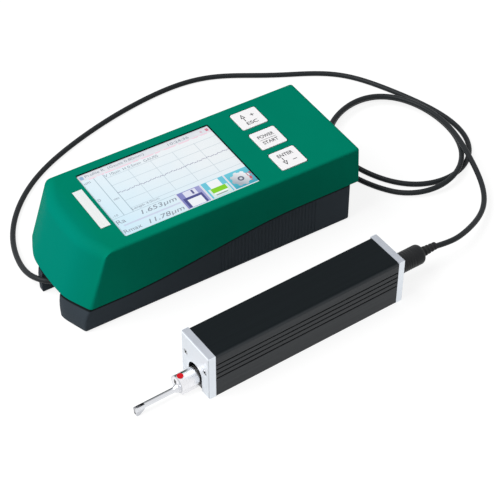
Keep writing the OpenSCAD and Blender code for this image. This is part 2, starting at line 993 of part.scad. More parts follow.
module pickup_body() {
    color([0.86, 0.88, 0.9])
        on_drive()
            difference() {
                union() {
                    rod(-pickup_reach, carriage_start, 0, pickup_z, pickup_diameter / 2);
                    rod(carriage_start, carriage_start + spigot_length, 0, pickup_z, spigot_radius);
                    box([keel_start, -keel_half, keel_low], [keel_end, keel_half, pickup_z]);
                }
                box([cell_start, -cell_half, cell_low], [cell_end, cell_half, cell_high]);
                rod(-pickup_reach - 1, cell_start, 0, tube_z, tube_diameter / 2);
                translate([dot_u, 0, pickup_z + pickup_diameter / 2 - dot_sink])
                    cylinder(h = 1, r = dot_diameter / 2);
            }
}

module index_dot() {
    color([0.85, 0.08, 0.12])
        on_drive()
            translate([dot_u, 0, pickup_z + pickup_diameter / 2 - dot_sink])
                cylinder(h = dot_sink + dot_proud, r = dot_diameter / 2);
}

module probe_tube() {
    color([0.8, 0.81, 0.83])
        on_drive()
            difference() {
                union() {
                    rod(tube_end, cell_start, 0, tube_z, tube_diameter / 2);
                    rod(-pickup_reach - cone_length, -pickup_reach, 0, tube_z, tube_diameter / 2, cone_radius);
                }
                rod(tube_end + leg_slot / 2, cell_start + 1, 0, tube_z, bore_radius);
                box([leg_u - leg_slot, -leg_gap, 0], [leg_u + leg_slot, leg_gap, tube_z]);
                box([tube_end + skin, -eye_half, tube_z], [tube_end + skin + eye_length, eye_half, far]);
            }
}

module skid() {
    color([0.82, 0.83, 0.85])
        on_drive()
            difference() {
                across(skid_width)
                    polygon([[tube_end + 0.1, tube_z], [tube_end + 0.1, skid_low + skid_nose * 3],
                        [tube_end + 0.1 + skid_nose, skid_low], [leg_u + leg_slot, skid_low],
                        [tube_end + skid_length, tube_z - tube_diameter / 2 - 0.1],
                        [tube_end + skid_length, tube_z]]);
                rod(tube_end - 1, cell_start, 0, tube_z, tube_diameter / 2);
                box([leg_u - leg_slot, -leg_gap, -1], [leg_u + leg_slot, leg_gap, tube_z]);
                box([tube_end - 1, -slit_half, -1], [leg_u, slit_half, slit_top]);
            }
}

module pivot_block() {
    color([0.55, 0.56, 0.58])
        on_drive()
            difference() {
                for (s = [-1, 1])
                    translate([0, s * (cell_half - cheek_width / 2), 0])
                        box([pin_u - cheek_half, -cheek_width / 2, cell_low],
                            [pin_u + cheek_half, cheek_width / 2, cheek_top]);
                translate([pin_u, 0, tube_z])
                    rotate([90, 0, 0])
                        cylinder(h = far, r = pin_radius + run, center = true);
            }
}

module sensor_coil() {
    color([0.7, 0.4, 0.2])
        on_drive()
            box([coil_start, -cell_half, coil_low], [coil_end, cell_half, coil_high]);
}

module stylus() {
    color([0.75, 0.76, 0.78])
        on_drive() {
            rod(leg_u, core_end, 0, tube_z, arm_radius);
            rod(core_start, core_end, 0, tube_z, core_radius);
            translate([pin_u, 0, tube_z])
                rotate([90, 0, 0])
                    cylinder(h = 2 * pin_half, r = pin_radius, center = true);
            translate([leg_u, 0, tip_low + tip_height])
                cylinder(h = tube_z - tip_low - tip_height, r = leg_radius);
            translate([leg_u, 0, tip_low])
                cylinder(h = tip_height, r1 = leg_radius / 5, r2 = leg_radius);
        }
}

module display_plug() {
    color([0.11, 0.11, 0.12])
        on_display() {
            rod(plug_front, plug_front + spigot_length, plug_side, plug_height, socket_hole - run);
            rod(plug_front - display_plug_length, plug_front, plug_side, plug_height, display_plug_diameter / 2);
            rod(boot_exit, plug_front - display_plug_length, plug_side, plug_height, boot_end, boot_root);
        }
}

// Plug barrel with a rounded rear shoulder
module drive_plug() {
    r = plug_diameter / 2;
    color([0.12, 0.12, 0.13])
        on_drive() {
            rod(drive_length - rear_depth, drive_length, 0, rear_z, rear_hole - run);
            translate([drive_length, 0, rear_z])
                rotate([0, 90, 0])
                    rotate_extrude()
                        union() {
                            square([r, plug_length - shoulder]);
                            square([r - shoulder, plug_length]);
                            translate([r - shoulder, plug_length - shoulder])
                                intersection() {
                                    circle(r = shoulder);
                                    square([shoulder, shoulder]);
                                }
                        }
        }
}

module drive_boot() {
    color([0.13, 0.13, 0.14])
        on_drive() {
            rod(boot_start, boot_start + boot_length, 0, rear_z, boot_radius, boot_end);
            for (i = [0:boot_rings - 1])
                rod(boot_start + boot_ring + i * 2 * boot_ring - boot_ring / 2,
                    boot_start + boot_ring + i * 2 * boot_ring + boot_ring / 2, 0, rear_z,
                    boot_radius + 0.1 - i * 0.2);
        }
}

module connecting_cable() {
    color([0.14, 0.15, 0.15])
        polyhedron(
            points = [for (i = [0:rings - 1]) for (k = [0:cable_sides - 1]) ring_point(i, k)],
            faces = concat(
                [[for (k = [0:cable_sides - 1]) k]],
                [for (i = [0:rings - 2]) for (k = [0:cable_sides - 1])
                    [i * cable_sides + k, (i + 1) * cable_sides + k,
                     (i + 1) * cable_sides + (k + 1) % cable_sides]],
                [for (i = [0:rings - 2]) for (k = [0:cable_sides - 1])
                    [i * cable_sides + k, (i + 1) * cable_sides + (k + 1) % cable_sides,
                     i * cable_sides + (k + 1) % cable_sides]],
                [[for (k = [0:cable_sides - 1]) rings * cable_sides - 1 - k]]));
}

upper_housing();
lower_housing();
touch_panel();
lcd_module();
up_key();
start_key();
enter_key();
key_switches();
main_board();
battery_pack();
badge_plate();
display_socket();
feet();
case_screws();
drive_body();
front_plate();
rear_plate();
plate_screws();
front_bearing();
bulkhead();
guide_rods();
lead_screw();
gearbox();
motor();
carriage();
pickup_socket();
limit_switches();
drive_board();
rear_socket();
pickup_body();
index_dot();
probe_tube();
skid();
pivot_block();
sensor_coil();
stylus();
display_plug();
drive_plug();
drive_boot();
connecting_cable();
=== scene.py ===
# %% [markdown]
# # Surface roughness tester
# A workshop instrument in three parts: a green and black display unit with a touch screen and
# three keys, a slim black traverse drive that pulls a silver pickup over the work, and the cable
# that joins the two. The packed CAD model is the frame; this file dresses it. Pieces that the
# CAD keeps plain get a finer surface here, and every part gets its finish.

# %% Load the frame
import json
import math

import bmesh
import bpy
import numpy as np
from mathutils import Matrix, Vector
from mathutils.geometry import delaunay_2d_cdt


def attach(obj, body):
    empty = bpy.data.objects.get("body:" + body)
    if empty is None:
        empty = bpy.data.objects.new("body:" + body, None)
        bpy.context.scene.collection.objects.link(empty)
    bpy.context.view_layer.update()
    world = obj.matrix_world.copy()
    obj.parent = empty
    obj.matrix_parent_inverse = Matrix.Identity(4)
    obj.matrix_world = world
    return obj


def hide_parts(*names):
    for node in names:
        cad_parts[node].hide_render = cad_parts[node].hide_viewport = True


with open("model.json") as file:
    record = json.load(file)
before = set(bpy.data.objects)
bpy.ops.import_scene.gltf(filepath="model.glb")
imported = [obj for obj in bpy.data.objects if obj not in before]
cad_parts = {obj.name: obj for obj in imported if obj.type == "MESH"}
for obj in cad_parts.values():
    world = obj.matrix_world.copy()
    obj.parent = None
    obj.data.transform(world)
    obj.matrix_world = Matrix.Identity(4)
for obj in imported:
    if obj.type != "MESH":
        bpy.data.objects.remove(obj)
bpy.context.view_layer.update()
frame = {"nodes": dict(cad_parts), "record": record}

MM = 0.001

# %% [markdown]
# ## Two workbenches
# Sizes are easier to read in each unit's own millimetres: the display unit is measured back from
# its nose, and the drive back from its front plate, which is turned a little on the table. Two
# functions carry such points into the frame's metres. Doing it with object transforms would also
# work, but then the finished meshes would not sit at the origin.

# %% Places on the display unit and on the drive
DISPLAY_AT = np.array([-82.5, 33.75, 0.0])
DRIVE_AT = np.array([-48.5, -65.25, 0.0])
DRIVE_HALF, DRIVE_LONG = 11.5, 115.0
DRIVE_TURN = math.radians(2.7)
ALONG = np.array([math.cos(DRIVE_TURN), math.sin(DRIVE_TURN), 0.0])
ASIDE = np.array([-math.sin(DRIVE_TURN), math.cos(DRIVE_TURN), 0.0])


def on_display(points):
    """Display unit millimetres (back from the nose, across, up) to metres: a plain shift."""
    return (np.asarray(points, float) + DISPLAY_AT) * MM


def on_drive(points):
    """Drive millimetres (back from the front plate, across, up) to metres: a turn, then a shift."""
    p = np.asarray(points, float)
    turned = p[..., :1] * ALONG + (p[..., 1:2] + DRIVE_HALF) * ASIDE
    return (DRIVE_AT + turned + p[..., 2:] * np.array([0.0, 0.0, 1.0])) * MM


print("pickup side of the drive at", on_drive([0, 0, 0]))

# %% [markdown]
# ## Camera
# The picture looks down on the near corner of the display unit from about 0.8 m, with a long
# lens. Position, heading, tilt and roll were solved from the corners of the two units, so here
# they are only written down as three axes of a camera matrix.

# %% Camera
CAMERA_AT = Vector((-0.29716, -0.49324, 0.57066))
HEADING, TILT, ROLL = (math.radians(a) for a in (57.681, 43.777, 0.257))
LENS = 116.209

ahead = Vector((math.cos(HEADING), math.sin(HEADING), 0))
forward = ahead * math.cos(TILT) - Vector((0, 0, math.sin(TILT)))
level = forward.cross(Vector((0, 0, 1))).normalized()
rise = level.cross(forward)
right = level * math.cos(ROLL) + rise * math.sin(ROLL)
up = rise * math.cos(ROLL) - level * math.sin(ROLL)
camera = bpy.data.objects.new("camera", bpy.data.cameras.new("camera"))
camera.data.sensor_width = 36
camera.data.lens = LENS
camera.matrix_world = Matrix((
    (right.x, up.x, -forward.x, CAMERA_AT.x),
    (right.y, up.y, -forward.y, CAMERA_AT.y),
    (right.z, up.z, -forward.z, CAMERA_AT.z),
    (0, 0, 0, 1),
))
bpy.context.scene.collection.objects.link(camera)
bpy.context.scene.camera = camera
bpy.context.scene.view_settings.view_transform = "Standard"
print("camera", round(CAMERA_AT.length, 3), "m from the middle of the table")

# %% [markdown]
# ## Sums on sockets
# Materials are drawn with arithmetic on positions, and that arithmetic reads best as Python. A
# Wire wraps one output socket; adding, multiplying or comparing Wires puts in the Math node that
# does it. Nodes holds one node tree. A Paint is the tree of one material: it hands out positions
# and noise, mixes colours, and feeds the shader.

# %% Wire
class Wire:
    """One output socket; every operator adds the Math node that works it out."""

    def __init__(self, nodes, socket):
        self.nodes, self.socket = nodes, socket

    def sum(self, operation, *values):
        return self.nodes.node("ShaderNodeMath", {"operation": operation}, dict(enumerate(values)))

    def __add__(self, other):
        return self.sum("ADD", self, other)

    def __sub__(self, other):
        return self.sum("SUBTRACT", self, other)

    def __rsub__(self, other):
        return self.sum("SUBTRACT", other, self)

    def __mul__(self, other):
        return self.sum("MULTIPLY", self, other)

    def __truediv__(self, other):
        return self.sum("DIVIDE", self, other)

    def __gt__(self, other):
        return self.sum("GREATER_THAN", self, other)

    def __lt__(self, other):
        return self.sum("LESS_THAN", self, other)

    def __abs__(self):
        return self.sum("ABSOLUTE", self)

    def either(self, other):
        return self.sum("MAXIMUM", self, other)

    def lesser(self, other):
        return self.sum("MINIMUM", self, other)

    def sine(self):
        return self.sum("SINE", self)

    def root(self):
        return self.sum("SQRT", self)

    def angle(self, across):
        """The angle whose tangent is this value over the one across."""
        return self.sum("ARCTAN2", self, across)

    def between(self, low, high):
        """1 where the value lies from low to high, 0 elsewhere."""
        return (self > low) * (self < high)

    def ramp(self, low, high, form="LINEAR"):
        """0 below low, 1 above high, a straight slope between or, as SMOOTHSTEP, an S."""
        slope = {"From Min": low, "From Max": high, "Value": self}
        return self.nodes.node("ShaderNodeMapRange", {"interpolation_type": form}, slope)

    __radd__ = __add__
    __rmul__ = __mul__


print("a Wire has", sum(callable(part) for part in vars(Wire).values()), "methods")


# %% Nodes and Paint
def tint(red, green, blue):
    """A colour as a picture shows it, 0 to 255, to the shader's straight-line light."""
    c = np.array([red, green, blue]) / 255
    light = np.where(c <= 0.04045, c / 12.92, ((c + 0.055) / 1.055) ** 2.4)
    return (*light.tolist(), 1.0)


class Nodes:
    """One node tree, of a material or of the sky."""

    def __init__(self, tree):
        self.tree = tree

    def node(self, kind, settings=None, sockets=None, out=0):
        """A node of that type; its settings are set first, then values or links on its sockets."""
        made = self.tree.nodes.new(kind)
        for key, value in (settings or {}).items():
            setattr(made, key, value)
        for key, value in (sockets or {}).items():
            if isinstance(value, Wire):
                self.tree.links.new(value.socket, made.inputs[key])
            else:
                made.inputs[key].default_value = value
        return Wire(self, made.outputs[out])

    def show(self, shader, output):
        """Links a shader to the surface of the tree's output node."""
        self.tree.links.new(shader.socket, self.tree.nodes[output].inputs["Surface"])


class Paint(Nodes):
    """One material: fixed numbers go on the shader's own sockets, patterns are fed in."""

    def __init__(self, name, **fixed):
        self.material = bpy.data.materials.new(name)
        self.material.use_nodes = True
        super().__init__(self.material.node_tree)
        self.shader = self.tree.nodes["Principled BSDF"]
        for socket, value in fixed.items():
            self.shader.inputs[socket.replace("_", " ")].default_value = value

    def place(self):
        """Position in the frame, metres."""
        return self.node("ShaderNodeTexCoord", out="Object")

    def axes(self, vector):
        return tuple(self.node("ShaderNodeSeparateXYZ", None, {0: vector}, out) for out in range(3))

    def display(self):
        """Millimetres back from the display unit's nose, across, and up."""
        x, y, z = self.axes(self.place())
        return x * 1000 - DISPLAY_AT[0], y * 1000 - DISPLAY_AT[1], z * 1000

    def drive(self):
        """Millimetres back from the drive's front plate, across, and up."""
        x, y, z = self.axes(self.place())
        dx, dy = x * 1000 - DRIVE_AT[0], y * 1000 - DRIVE_AT[1]
        u = dx * ALONG[0] + dy * ALONG[1]
        v = dx * ASIDE[0] + dy * ASIDE[1]
        return u, v - DRIVE_HALF, z * 1000

    def noise(self, scale, detail=2.0, stretch=(1, 1, 1), turn=0.0):
        """Smooth noise from 0 to 1 with scale lumps in a metre, drawn out where stretch is small."""
        mapped = self.node("ShaderNodeMapping", {"vector_type": "TEXTURE"}, {
            "Vector": self.place(), "Rotation": (0, 0, turn), "Scale": tuple(1 / s for s in stretch)})
        return self.node("ShaderNodeTexNoise", None, {"Vector": mapped, "Scale": scale, "Detail": detail})

    def mix(self, part, first, second):
        """The first colour where part is 0, the second where it is 1."""
        return self.node("ShaderNodeMix", {"data_type": "RGBA"}, {0: part, 6: first, 7: second}, 2)

    def feed(self, socket, wire):
        self.tree.links.new(wire.socket, self.shader.inputs[socket])

    def bump(self, height, strength, distance):
        """Dents and ridges that the light sees, distance metres from 0 to 1."""
        self.feed("Normal", self.node("ShaderNodeBump", None, {
            "Height": height, "Strength": strength, "Distance": distance}))


print("a middle grey as light", [round(v, 4) for v in tint(128, 128, 128)])

# %% [markdown]
# ## Table and light
# A plain white studio: a large soft lamp high on the left lights the top and the nose alike, and
# the near sides are left to the weak sky and to light coming back from the table. The table and
# the sky read as white to the camera and in reflections, while what they give to the scene stays
# modest, so a colour comes out about as it is written. Only under the two units is the table left
# plain, so that it is as dark there as the shadow makes it.

# %% Table
FLOOR_HALF = 4.0
CARD, SHADED, GLOW = 0.6, 0.22, 0.86
SKY = 0.26
FADE_START, FADE_STOP, UNDER_REAR, UNDER_HALF = 8, 30, 159, 30
END_INSET, SIDE_INSET = 1, 0.5
LAMP_TOWARDS = Vector((-0.56, 0.12, 0.82)).normalized()
LAMP_DISTANCE, LAMP_SIDE, LAMP_POWER = 1.5, 1.0, 21.0

corners = [(-FLOOR_HALF, -FLOOR_HALF, 0), (FLOOR_HALF, -FLOOR_HALF, 0),
           (FLOOR_HALF, FLOOR_HALF, 0), (-FLOOR_HALF, FLOOR_HALF, 0)]
table_mesh = bpy.data.meshes.new("table")
table_mesh.from_pydata(corners, [], [(0, 1, 2, 3)])
table = bpy.data.objects.new("table", table_mesh)
bpy.context.scene.collection.objects.link(table)


def seen_directly(nodes):
    """1 for rays from the camera, a reflection or glass, 0 for the light that fills the scene."""
    ways = ["Is Camera Ray", "Is Glossy Ray", "Is Transmission Ray"]
    camera_ray, gloss_ray, glass_ray = (nodes.node("ShaderNodeLightPath", out=way) for way in ways)
    return camera_ray.either(gloss_ray).either(glass_ray)


table_paint = Paint("table_white")
card, shaded = (
    table_paint.node("ShaderNodeBsdfDiffuse", None, {"Color": (c, c, c, 1)}, "BSDF") for c in (CARD, SHADED))
glow = table_paint.node("ShaderNodeEmission", None, {"Strength": GLOW}, "Emission")
white = table_paint.node("ShaderNodeAddShader", None, {0: shaded, 1: glow}, "Shader")
back, across, _ = table_paint.display()
under_display = back.ramp(FADE_START, FADE_STOP) * (back < UNDER_REAR) * (abs(across) < UNDER_HALF)
back, across, _ = table_paint.drive()
under_drive = back.between(END_INSET, DRIVE_LONG - END_INSET) * (abs(across) < DRIVE_HALF - SIDE_INSET)
shown_white = seen_directly(table_paint) * (1 - under_display.either(under_drive))
blank = table_paint.node("ShaderNodeMixShader", None, {0: shown_white, 1: card, 2: white})
table_paint.show(blank, "Material Output")
table_mesh.materials.append(table_paint.material)
print("table", 2 * FLOOR_HALF, "m wide")

# %% Sky and lamp
world = bpy.data.worlds.new("sky")
world.use_nodes = True
bpy.context.scene.world = world
sky = Nodes(world.node_tree)
soft_sky, white_sky = (
    sky.node("ShaderNodeBackground", None, {"Color": (1, 1, 1, 1), "Strength": light}) for light in (SKY, 1))
sky.show(sky.node("ShaderNodeMixShader", None, {0: seen_directly(sky), 1: soft_sky, 2: white_sky}),
         "World Output")

lamp_data = bpy.data.lights.new("soft_lamp", "AREA")
lamp_data.shape = "SQUARE"
lamp_data.size = LAMP_SIDE
lamp_data.energy = LAMP_POWER
lamp = bpy.data.objects.new("soft_lamp", lamp_data)
aim = LAMP_TOWARDS.to_track_quat("Z", "Y").to_matrix().to_4x4()
lamp.matrix_world = Matrix.Translation(LAMP_TOWARDS * LAMP_DISTANCE) @ aim
bpy.context.scene.collection.objects.link(lamp)
print("lamp at", [round(v, 2) for v in LAMP_TOWARDS * LAMP_DISTANCE])

# %% [markdown]
# ## Skins
# Every new piece is a skin: rows of points round a form, neighbouring rows joined by bands of
# quads, and flat plates across the open loops. Whole rows are worked out at once with numpy.
# Plates with holes could be cut with booleans, but those leave ragged edges; a constrained
# triangulation of the loops keeps each rim exactly where its band ends.

# %% Skin
SHARP = math.radians(35)


class Skin:
    """Points and faces of one piece, in a unit's own millimetres."""

    def __init__(self, place):
        self.place, self.points, self.faces, self.count = place, [], [], 0

    def add(self, grid):
        """Puts in a grid of points and gives their numbers in the same layout."""
        index = np.arange(grid[..., 0].size).reshape(grid.shape[:-1]) + self.count
        self.points.append(grid.reshape(-1, 3))
        self.count += index.size
        return index

    def band(self, grid):
        """Quads between neighbouring rows, each row a closed loop."""
        index = self.add(grid)
        turned = np.roll(index, -1, axis=1)
        quads = np.stack([index[:-1], turned[:-1], turned[1:], index[1:]], axis=-1)
        self.faces += quads.reshape(-1, 4).tolist()

    def cap(self, loop):
        """One flat face across a loop."""
        self.faces.append(self.add(loop).tolist())

    def plate(self, outer, holes=(), axes=(0, 1)):
        """Triangles between an outer loop and its holes, seen along the axis that is left out.
        A triangle is dropped when its middle is inside a hole by the even-odd rule."""
        loops = [outer, *holes]
        cloud = np.concatenate(loops)
        flat = cloud[:, list(axes)]
        starts = np.cumsum([0] + [len(loop) for loop in loops])
        edges = [(s + k, s + (k + 1) % len(loop)) for s, loop in zip(starts, loops) for k in range(len(loop))]
        _, _, made, origin, *_ = delaunay_2d_cdt([Vector(p) for p in flat.tolist()], edges, [], 1, 1e-6)
        triangles = np.array([[origin[v][0] for v in face] for face in made])
        middle = flat[triangles].mean(axis=1)
        keep = inside(middle, outer[:, list(axes)])
        for hole in holes:
            keep &= ~inside(middle, hole[:, list(axes)])
        index = self.add(cloud)
        self.faces += index[triangles[keep]].tolist()

    def piece(self, name, body, slot, *nodes, sharp=SHARP):
        """Makes the object: doubles merged, faces turned outward, smooth but for sharp edges."""
        mesh = bpy.data.meshes.new(name)
        mesh.from_pydata(self.place(np.concatenate(self.points)).tolist(), [], self.faces)
        form = bmesh.new()
        form.from_mesh(mesh)
        bmesh.ops.remove_doubles(form, verts=form.verts, dist=2e-6)
        bmesh.ops.dissolve_degenerate(form, edges=form.edges, dist=1e-7)
        bmesh.ops.recalc_face_normals(form, faces=form.faces)
        open_edges = sum(not edge.is_manifold for edge in form.edges)
        form.to_mesh(mesh)
        form.free()
        mesh.shade_smooth()
        mesh.set_sharp_from_angle(angle=sharp)
        made = bpy.data.objects.new(name, mesh)
        bpy.context.scene.collection.objects.link(made)
        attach(made, body)
        if nodes:
            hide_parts(*nodes)
        print(name, len(mesh.polygons), "faces,", open_edges, "open edges")
        return made


def inside(points, loop):
    """Even-odd rule: a point is inside when a level line from it crosses the loop an odd number
    of times."""
    a, b = loop, np.roll(loop, -1, axis=0)
    x, y = points[:, :1], points[:, 1:2]
    spans = (a[None, :, 1] > y) != (b[None, :, 1] > y)
    rise = np.where(b[:, 1] == a[:, 1], 1e-12, b[:, 1] - a[:, 1])
    cross = a[None, :, 0] + (y - a[None, :, 1]) * (b[:, 0] - a[:, 0])[None] / rise[None]
    return (spans & (x < cross)).sum(axis=1) % 2 == 1


def quarter(steps):
    """Angles of a quarter turn, for rounded edges."""
    return np.linspace(0, math.pi / 2, steps)


print("a skin keeps edges crisp that bend by more than", round(math.degrees(SHARP)), "degrees")

# %% [markdown] ## Connecting cable A thin black lead, about a metre, seen from end to end: out of
# the tunnel under the nose, round behind the display unit, into a loop and a half on the table,
# and back to the plug of the drive. The points are those of the CAD solid, drawn as a springy
# lead would lie: near the points, but without their small kinks.

# %% Cable
CABLE, CABLE_REST, CABLE_SIDES = 2.9, 1.6, 16
SPAN_STEPS, CABLE_STEPS = 10, 420
CABLE_SPRING, CABLE_HELD, CABLE_GRIP = 8000.0, 12, 1e5
route_middle = np.array([
    [-76.5, 33.5, 9.5], [-83, 38, 10], [-85.5, 49, 7.5], [-82.5, 69.5, 3], [-75.5, 86.5, 1.6],
    [-47.5, 116, 1.6], [0, 136.5, 1.6], [45.5, 145, 1.6], [78.5, 142, 1.6], [107.5, 124.5, 1.6],
    [140, 107, 1.6], [156, 80.5, 1.6], [167, 54.5, 1.6], [170, 28.5, 1.6], [164, 12, 1.6],
    [143.5, 0, 1.6], [118.5, 6.5, 1.6], [108, 23, 1.6], [101.5, 44, 1.6], [105, 61.5, 1.6],
    [121, 74.5, 1.6], [144.5, 78.5, 2], [160, 60.5, 3], [164.5, 33, 3], [155, 8, 4.5],
    [134.5, -5.5, 5], [114, 0.5, 1.6], [102, 18.5, 1.6], [95.5, 38, 2.4], [100.5, 58, 5.2],
    [120, 71.5, 5.5], [142, 75.5, 6], [157.5, 57.5, 6.5], [162.5, 30.5, 7], [155.5, 5, 8],
    [148.5, -19, 5], [137.5, -33.5, 5], [111.5, -46, 9.5]])
route = np.concatenate([
    on_display([[18.5, -2, 8.5], [16.5, -2, 8.5]]), route_middle * MM,
    on_drive([[141, 0, 12], [139, 0, 12]])])


def through(points, steps):
    """Smooth curve through points. Between b and c, with neighbours a and d, it is half of
    2b + (c-a)t + (2a-5b+4c-d)t^2 + (3b-a-3c+d)t^3."""
    a, b, c, d = (points[k:len(points) - 3 + k, None] for k in range(4))
    t = (np.arange(steps) / steps)[None, :, None]
    curve = 2 * b + (c - a) * t + (2 * a - 5 * b + 4 * c - d) * t**2 + (3 * b - a - 3 * c + d) * t**3
    return np.concatenate([curve.reshape(-1, 3) / 2, points[-2:-1]])


def springy(line, count):
    """The line at even distances, then bent to lie near it with little change of curvature: p
    solves (W + spring D'D) p = W line, where D takes third differences and W holds the ends hard."""
    run = np.concatenate([[0], np.cumsum(np.linalg.norm(np.diff(line, axis=0), axis=1))])
    stops = np.linspace(0, run[-1], count)
    even = np.stack([np.interp(stops, run, line[:, k]) for k in range(3)], axis=1)
    third = np.diff(np.eye(count), 3, axis=0)
    hold = np.ones(count)
    hold[:CABLE_HELD] = hold[-CABLE_HELD:] = CABLE_GRIP
    return np.linalg.solve(np.diag(hold) + CABLE_SPRING * third.T @ third, hold[:, None] * even)


def tube(line, radius, sides):
    """Circle carried along a line: centre + radius (cos a * side + sin a * lift), with side level."""
    along = np.gradient(line, axis=0)
    along /= np.linalg.norm(along, axis=1, keepdims=True)
    side = np.cross([0.0, 0.0, 1.0], along)
    side /= np.linalg.norm(side, axis=1, keepdims=True)
    lift = np.cross(along, side)
    a = np.linspace(0, 2 * math.pi, sides, endpoint=False)[None, :, None]
    return line[:, None] + radius * (np.cos(a) * side[:, None] + np.sin(a) * lift[:, None])


cable_line = springy(through(route, SPAN_STEPS), CABLE_STEPS)
cable_line[:, 2] = np.maximum(cable_line[:, 2], CABLE_REST * MM)
cable_length = float(np.linalg.norm(np.diff(cable_line, axis=0), axis=1).sum())
cable_skin = Skin(lambda p: p)
cable_rings = tube(cable_line, CABLE / 2 * MM, CABLE_SIDES)
cable_skin.band(cable_rings)
cable_skin.cap(cable_rings[0])
cable_skin.cap(cable_rings[-1])
cable = cable_skin.piece("cable", "tester", "cable_black", "connecting_cable")
print("cable length", round(cable_length, 3), "m")

# %% [markdown]
# ## Plug and boot of the drive
# A moulded round plug with a rounded shoulder, then a ribbed boot that keeps the lead from
# kinking. Both are turned shapes, so each is a profile of distances and radii spun round the
# plug's axis. The grip of the plug has fine shallow rings.

# %% Plug and boot
PLUG_HEIGHT, PLUG_END, BOOT_END = 12.0, 135.2, 144.4
STUB, STUB_ROUND = 6.0, 3.55
COLLAR = [(0.02, 4.9), (0.4, 5.25), (2.2, 5.3), (2.5, 5.05), (3.0, 5.05), (3.3, 5.28)]
PLUG_ROUND, SHOULDER = 5.28, 2.5
GRIP_FROM, GRIP_TO, GRIP_DEEP, GRIP_PITCH = 5.0, 14.0, 0.14, 1.5
BOOT_OVERLAP, BOOT_ROUND, BOOT_TAPER, BOOT_TIP = 0.4, 2.72, 0.75, 1.5
BOOT_RINGS, RING_DEEP, BOOT_STEPS = 4.5, 0.34, 49
LATHE_SIDES = 64


def points(x, y, z):
    return np.stack(np.broadcast_arrays(x, y, z), axis=-1)


def spun(profile):
    """Profile of (distance, radius) pairs spun round the plug's level axis: the distance along it,
    r cos a across, and r sin a above it."""
    d, r = np.asarray(profile, float).T[:, :, None]
    a = np.linspace(0, 2 * math.pi, LATHE_SIDES, endpoint=False)[None]
    rows = points(d, r * np.cos(a), PLUG_HEIGHT + r * np.sin(a))
    skin = Skin(on_drive)
    skin.band(rows)
    skin.cap(rows[0])
    skin.cap(rows[-1])
    return skin


def wavy(start, stop, radius, depth, pitch, per=8):
    """Distances and radii of a run of shallow rings, radius less depth (1 - cos) / 2."""
    d = np.linspace(start, stop, int(round((stop - start) / pitch)) * per + 1)
    return np.stack([d, radius - depth * (1 - np.cos((d - start) / pitch * 2 * math.pi)) / 2], axis=1)


arc = quarter(9)
stub = [(-STUB, STUB_ROUND), (COLLAR[0][0], STUB_ROUND)]
plug_profile = np.concatenate([
    np.array(stub + COLLAR) + [DRIVE_LONG, 0],
    wavy(DRIVE_LONG + GRIP_FROM, DRIVE_LONG + GRIP_TO, PLUG_ROUND, GRIP_DEEP, GRIP_PITCH),
    np.array([PLUG_END, PLUG_ROUND]) - SHOULDER * np.stack([1 - np.sin(arc), 1 - np.cos(arc)], axis=1)])
drive_plug = spun(plug_profile).piece("cable_plug", "tester", "plug_black", "drive_plug")
boot_start = PLUG_END - BOOT_OVERLAP
run = np.linspace(0, 1, BOOT_STEPS)
sunken = np.sin(run * 2 * math.pi * BOOT_RINGS) < 0
boot_profile = np.stack([
    boot_start + run * (BOOT_END - boot_start),
    BOOT_ROUND - BOOT_TAPER * run - RING_DEEP * sunken], axis=1)
boot_profile = np.concatenate([boot_profile, [[BOOT_END, BOOT_TIP]]])
drive_boot = spun(boot_profile).piece("cable_boot", "tester", "boot_black", "drive_boot")

# %% [markdown]
# ## Green upper shell
# The shell's nose bows outward and leans back, then rolls over into the flat top; the sides stand
# upright with a small round; the rear leans a little. Its lower edge follows the parting line,
# which climbs from the nose to the rear. The outside is one grid: columns run once round the
# plan, rows climb the wall and then the rounded edge, and each column keeps its own heights, so
# the big nose round flows into the small side round at the corners.

# %% Parting line and outline
SEAM_FRONT, SEAM_REAR, SEAM_START, SEAM_END = 14.0, 24.2, 26.0, 128.0
TOP, HALF, REAR = 46.5, 31.5, 165.0
LEAN = math.radians(19)
NOSE_ROUND, EDGE_ROUND, REAR_LEAN = 7.0, 1.4, 1.0
NOSE_TRIM, REAR_TRIM = 1.6, 1.6
SEAM_BEVEL, TOP_MARGIN, BELOW_ONE = 0.3, 0.7, 0.99999
NOSE_BACK, NOSE_SLOPE, NOSE_FLAT, NOSE_SOFT = 0.8, 0.5, 16.0, 5.0
NOSE_STEPS, SIDE_STEPS, TAIL_STEPS = 40, 90, 12


def seam(x):
    """Height of the parting line: a smooth step 3t^2 - 2t^3 from its front to its rear height."""
    t = np.clip((x - SEAM_START) / (SEAM_END - SEAM_START), 0, 1)
    return SEAM_FRONT + (SEAM_REAR - SEAM_FRONT) * t * t * (3 - 2 * t)


def hinge(y, flat, soft):
    """0 over a flat middle, then a straight climb, joined softly: half of d + sqrt(d^2 + soft^2),
    where d is how far y lies beyond the flat."""
    beyond = np.abs(y) - flat
    return (beyond + np.sqrt(beyond**2 + soft**2)) / 2


def bow(y):
    """How far the nose falls back at a distance y from its middle."""
    return NOSE_BACK + NOSE_SLOPE * hinge(y, NOSE_FLAT, NOSE_SOFT)


def corner(a, sharp, b, count):
    """Rounded corner: (1-t)^2 a + 2t(1-t) sharp + t^2 b, ends included."""
    t = np.linspace(0, 1, count)[None, :, None]
    return (1 - t) ** 2 * a[:, None] + 2 * t * (1 - t) * sharp[:, None] + t * t * b[:, None]


def mirrored(half):
    """A near half outline, nose to rear, and its mirror image back to the nose."""
    far = half[:, -2:0:-1] * np.array([1, -1, 1])
    return np.concatenate([half, far], axis=1)


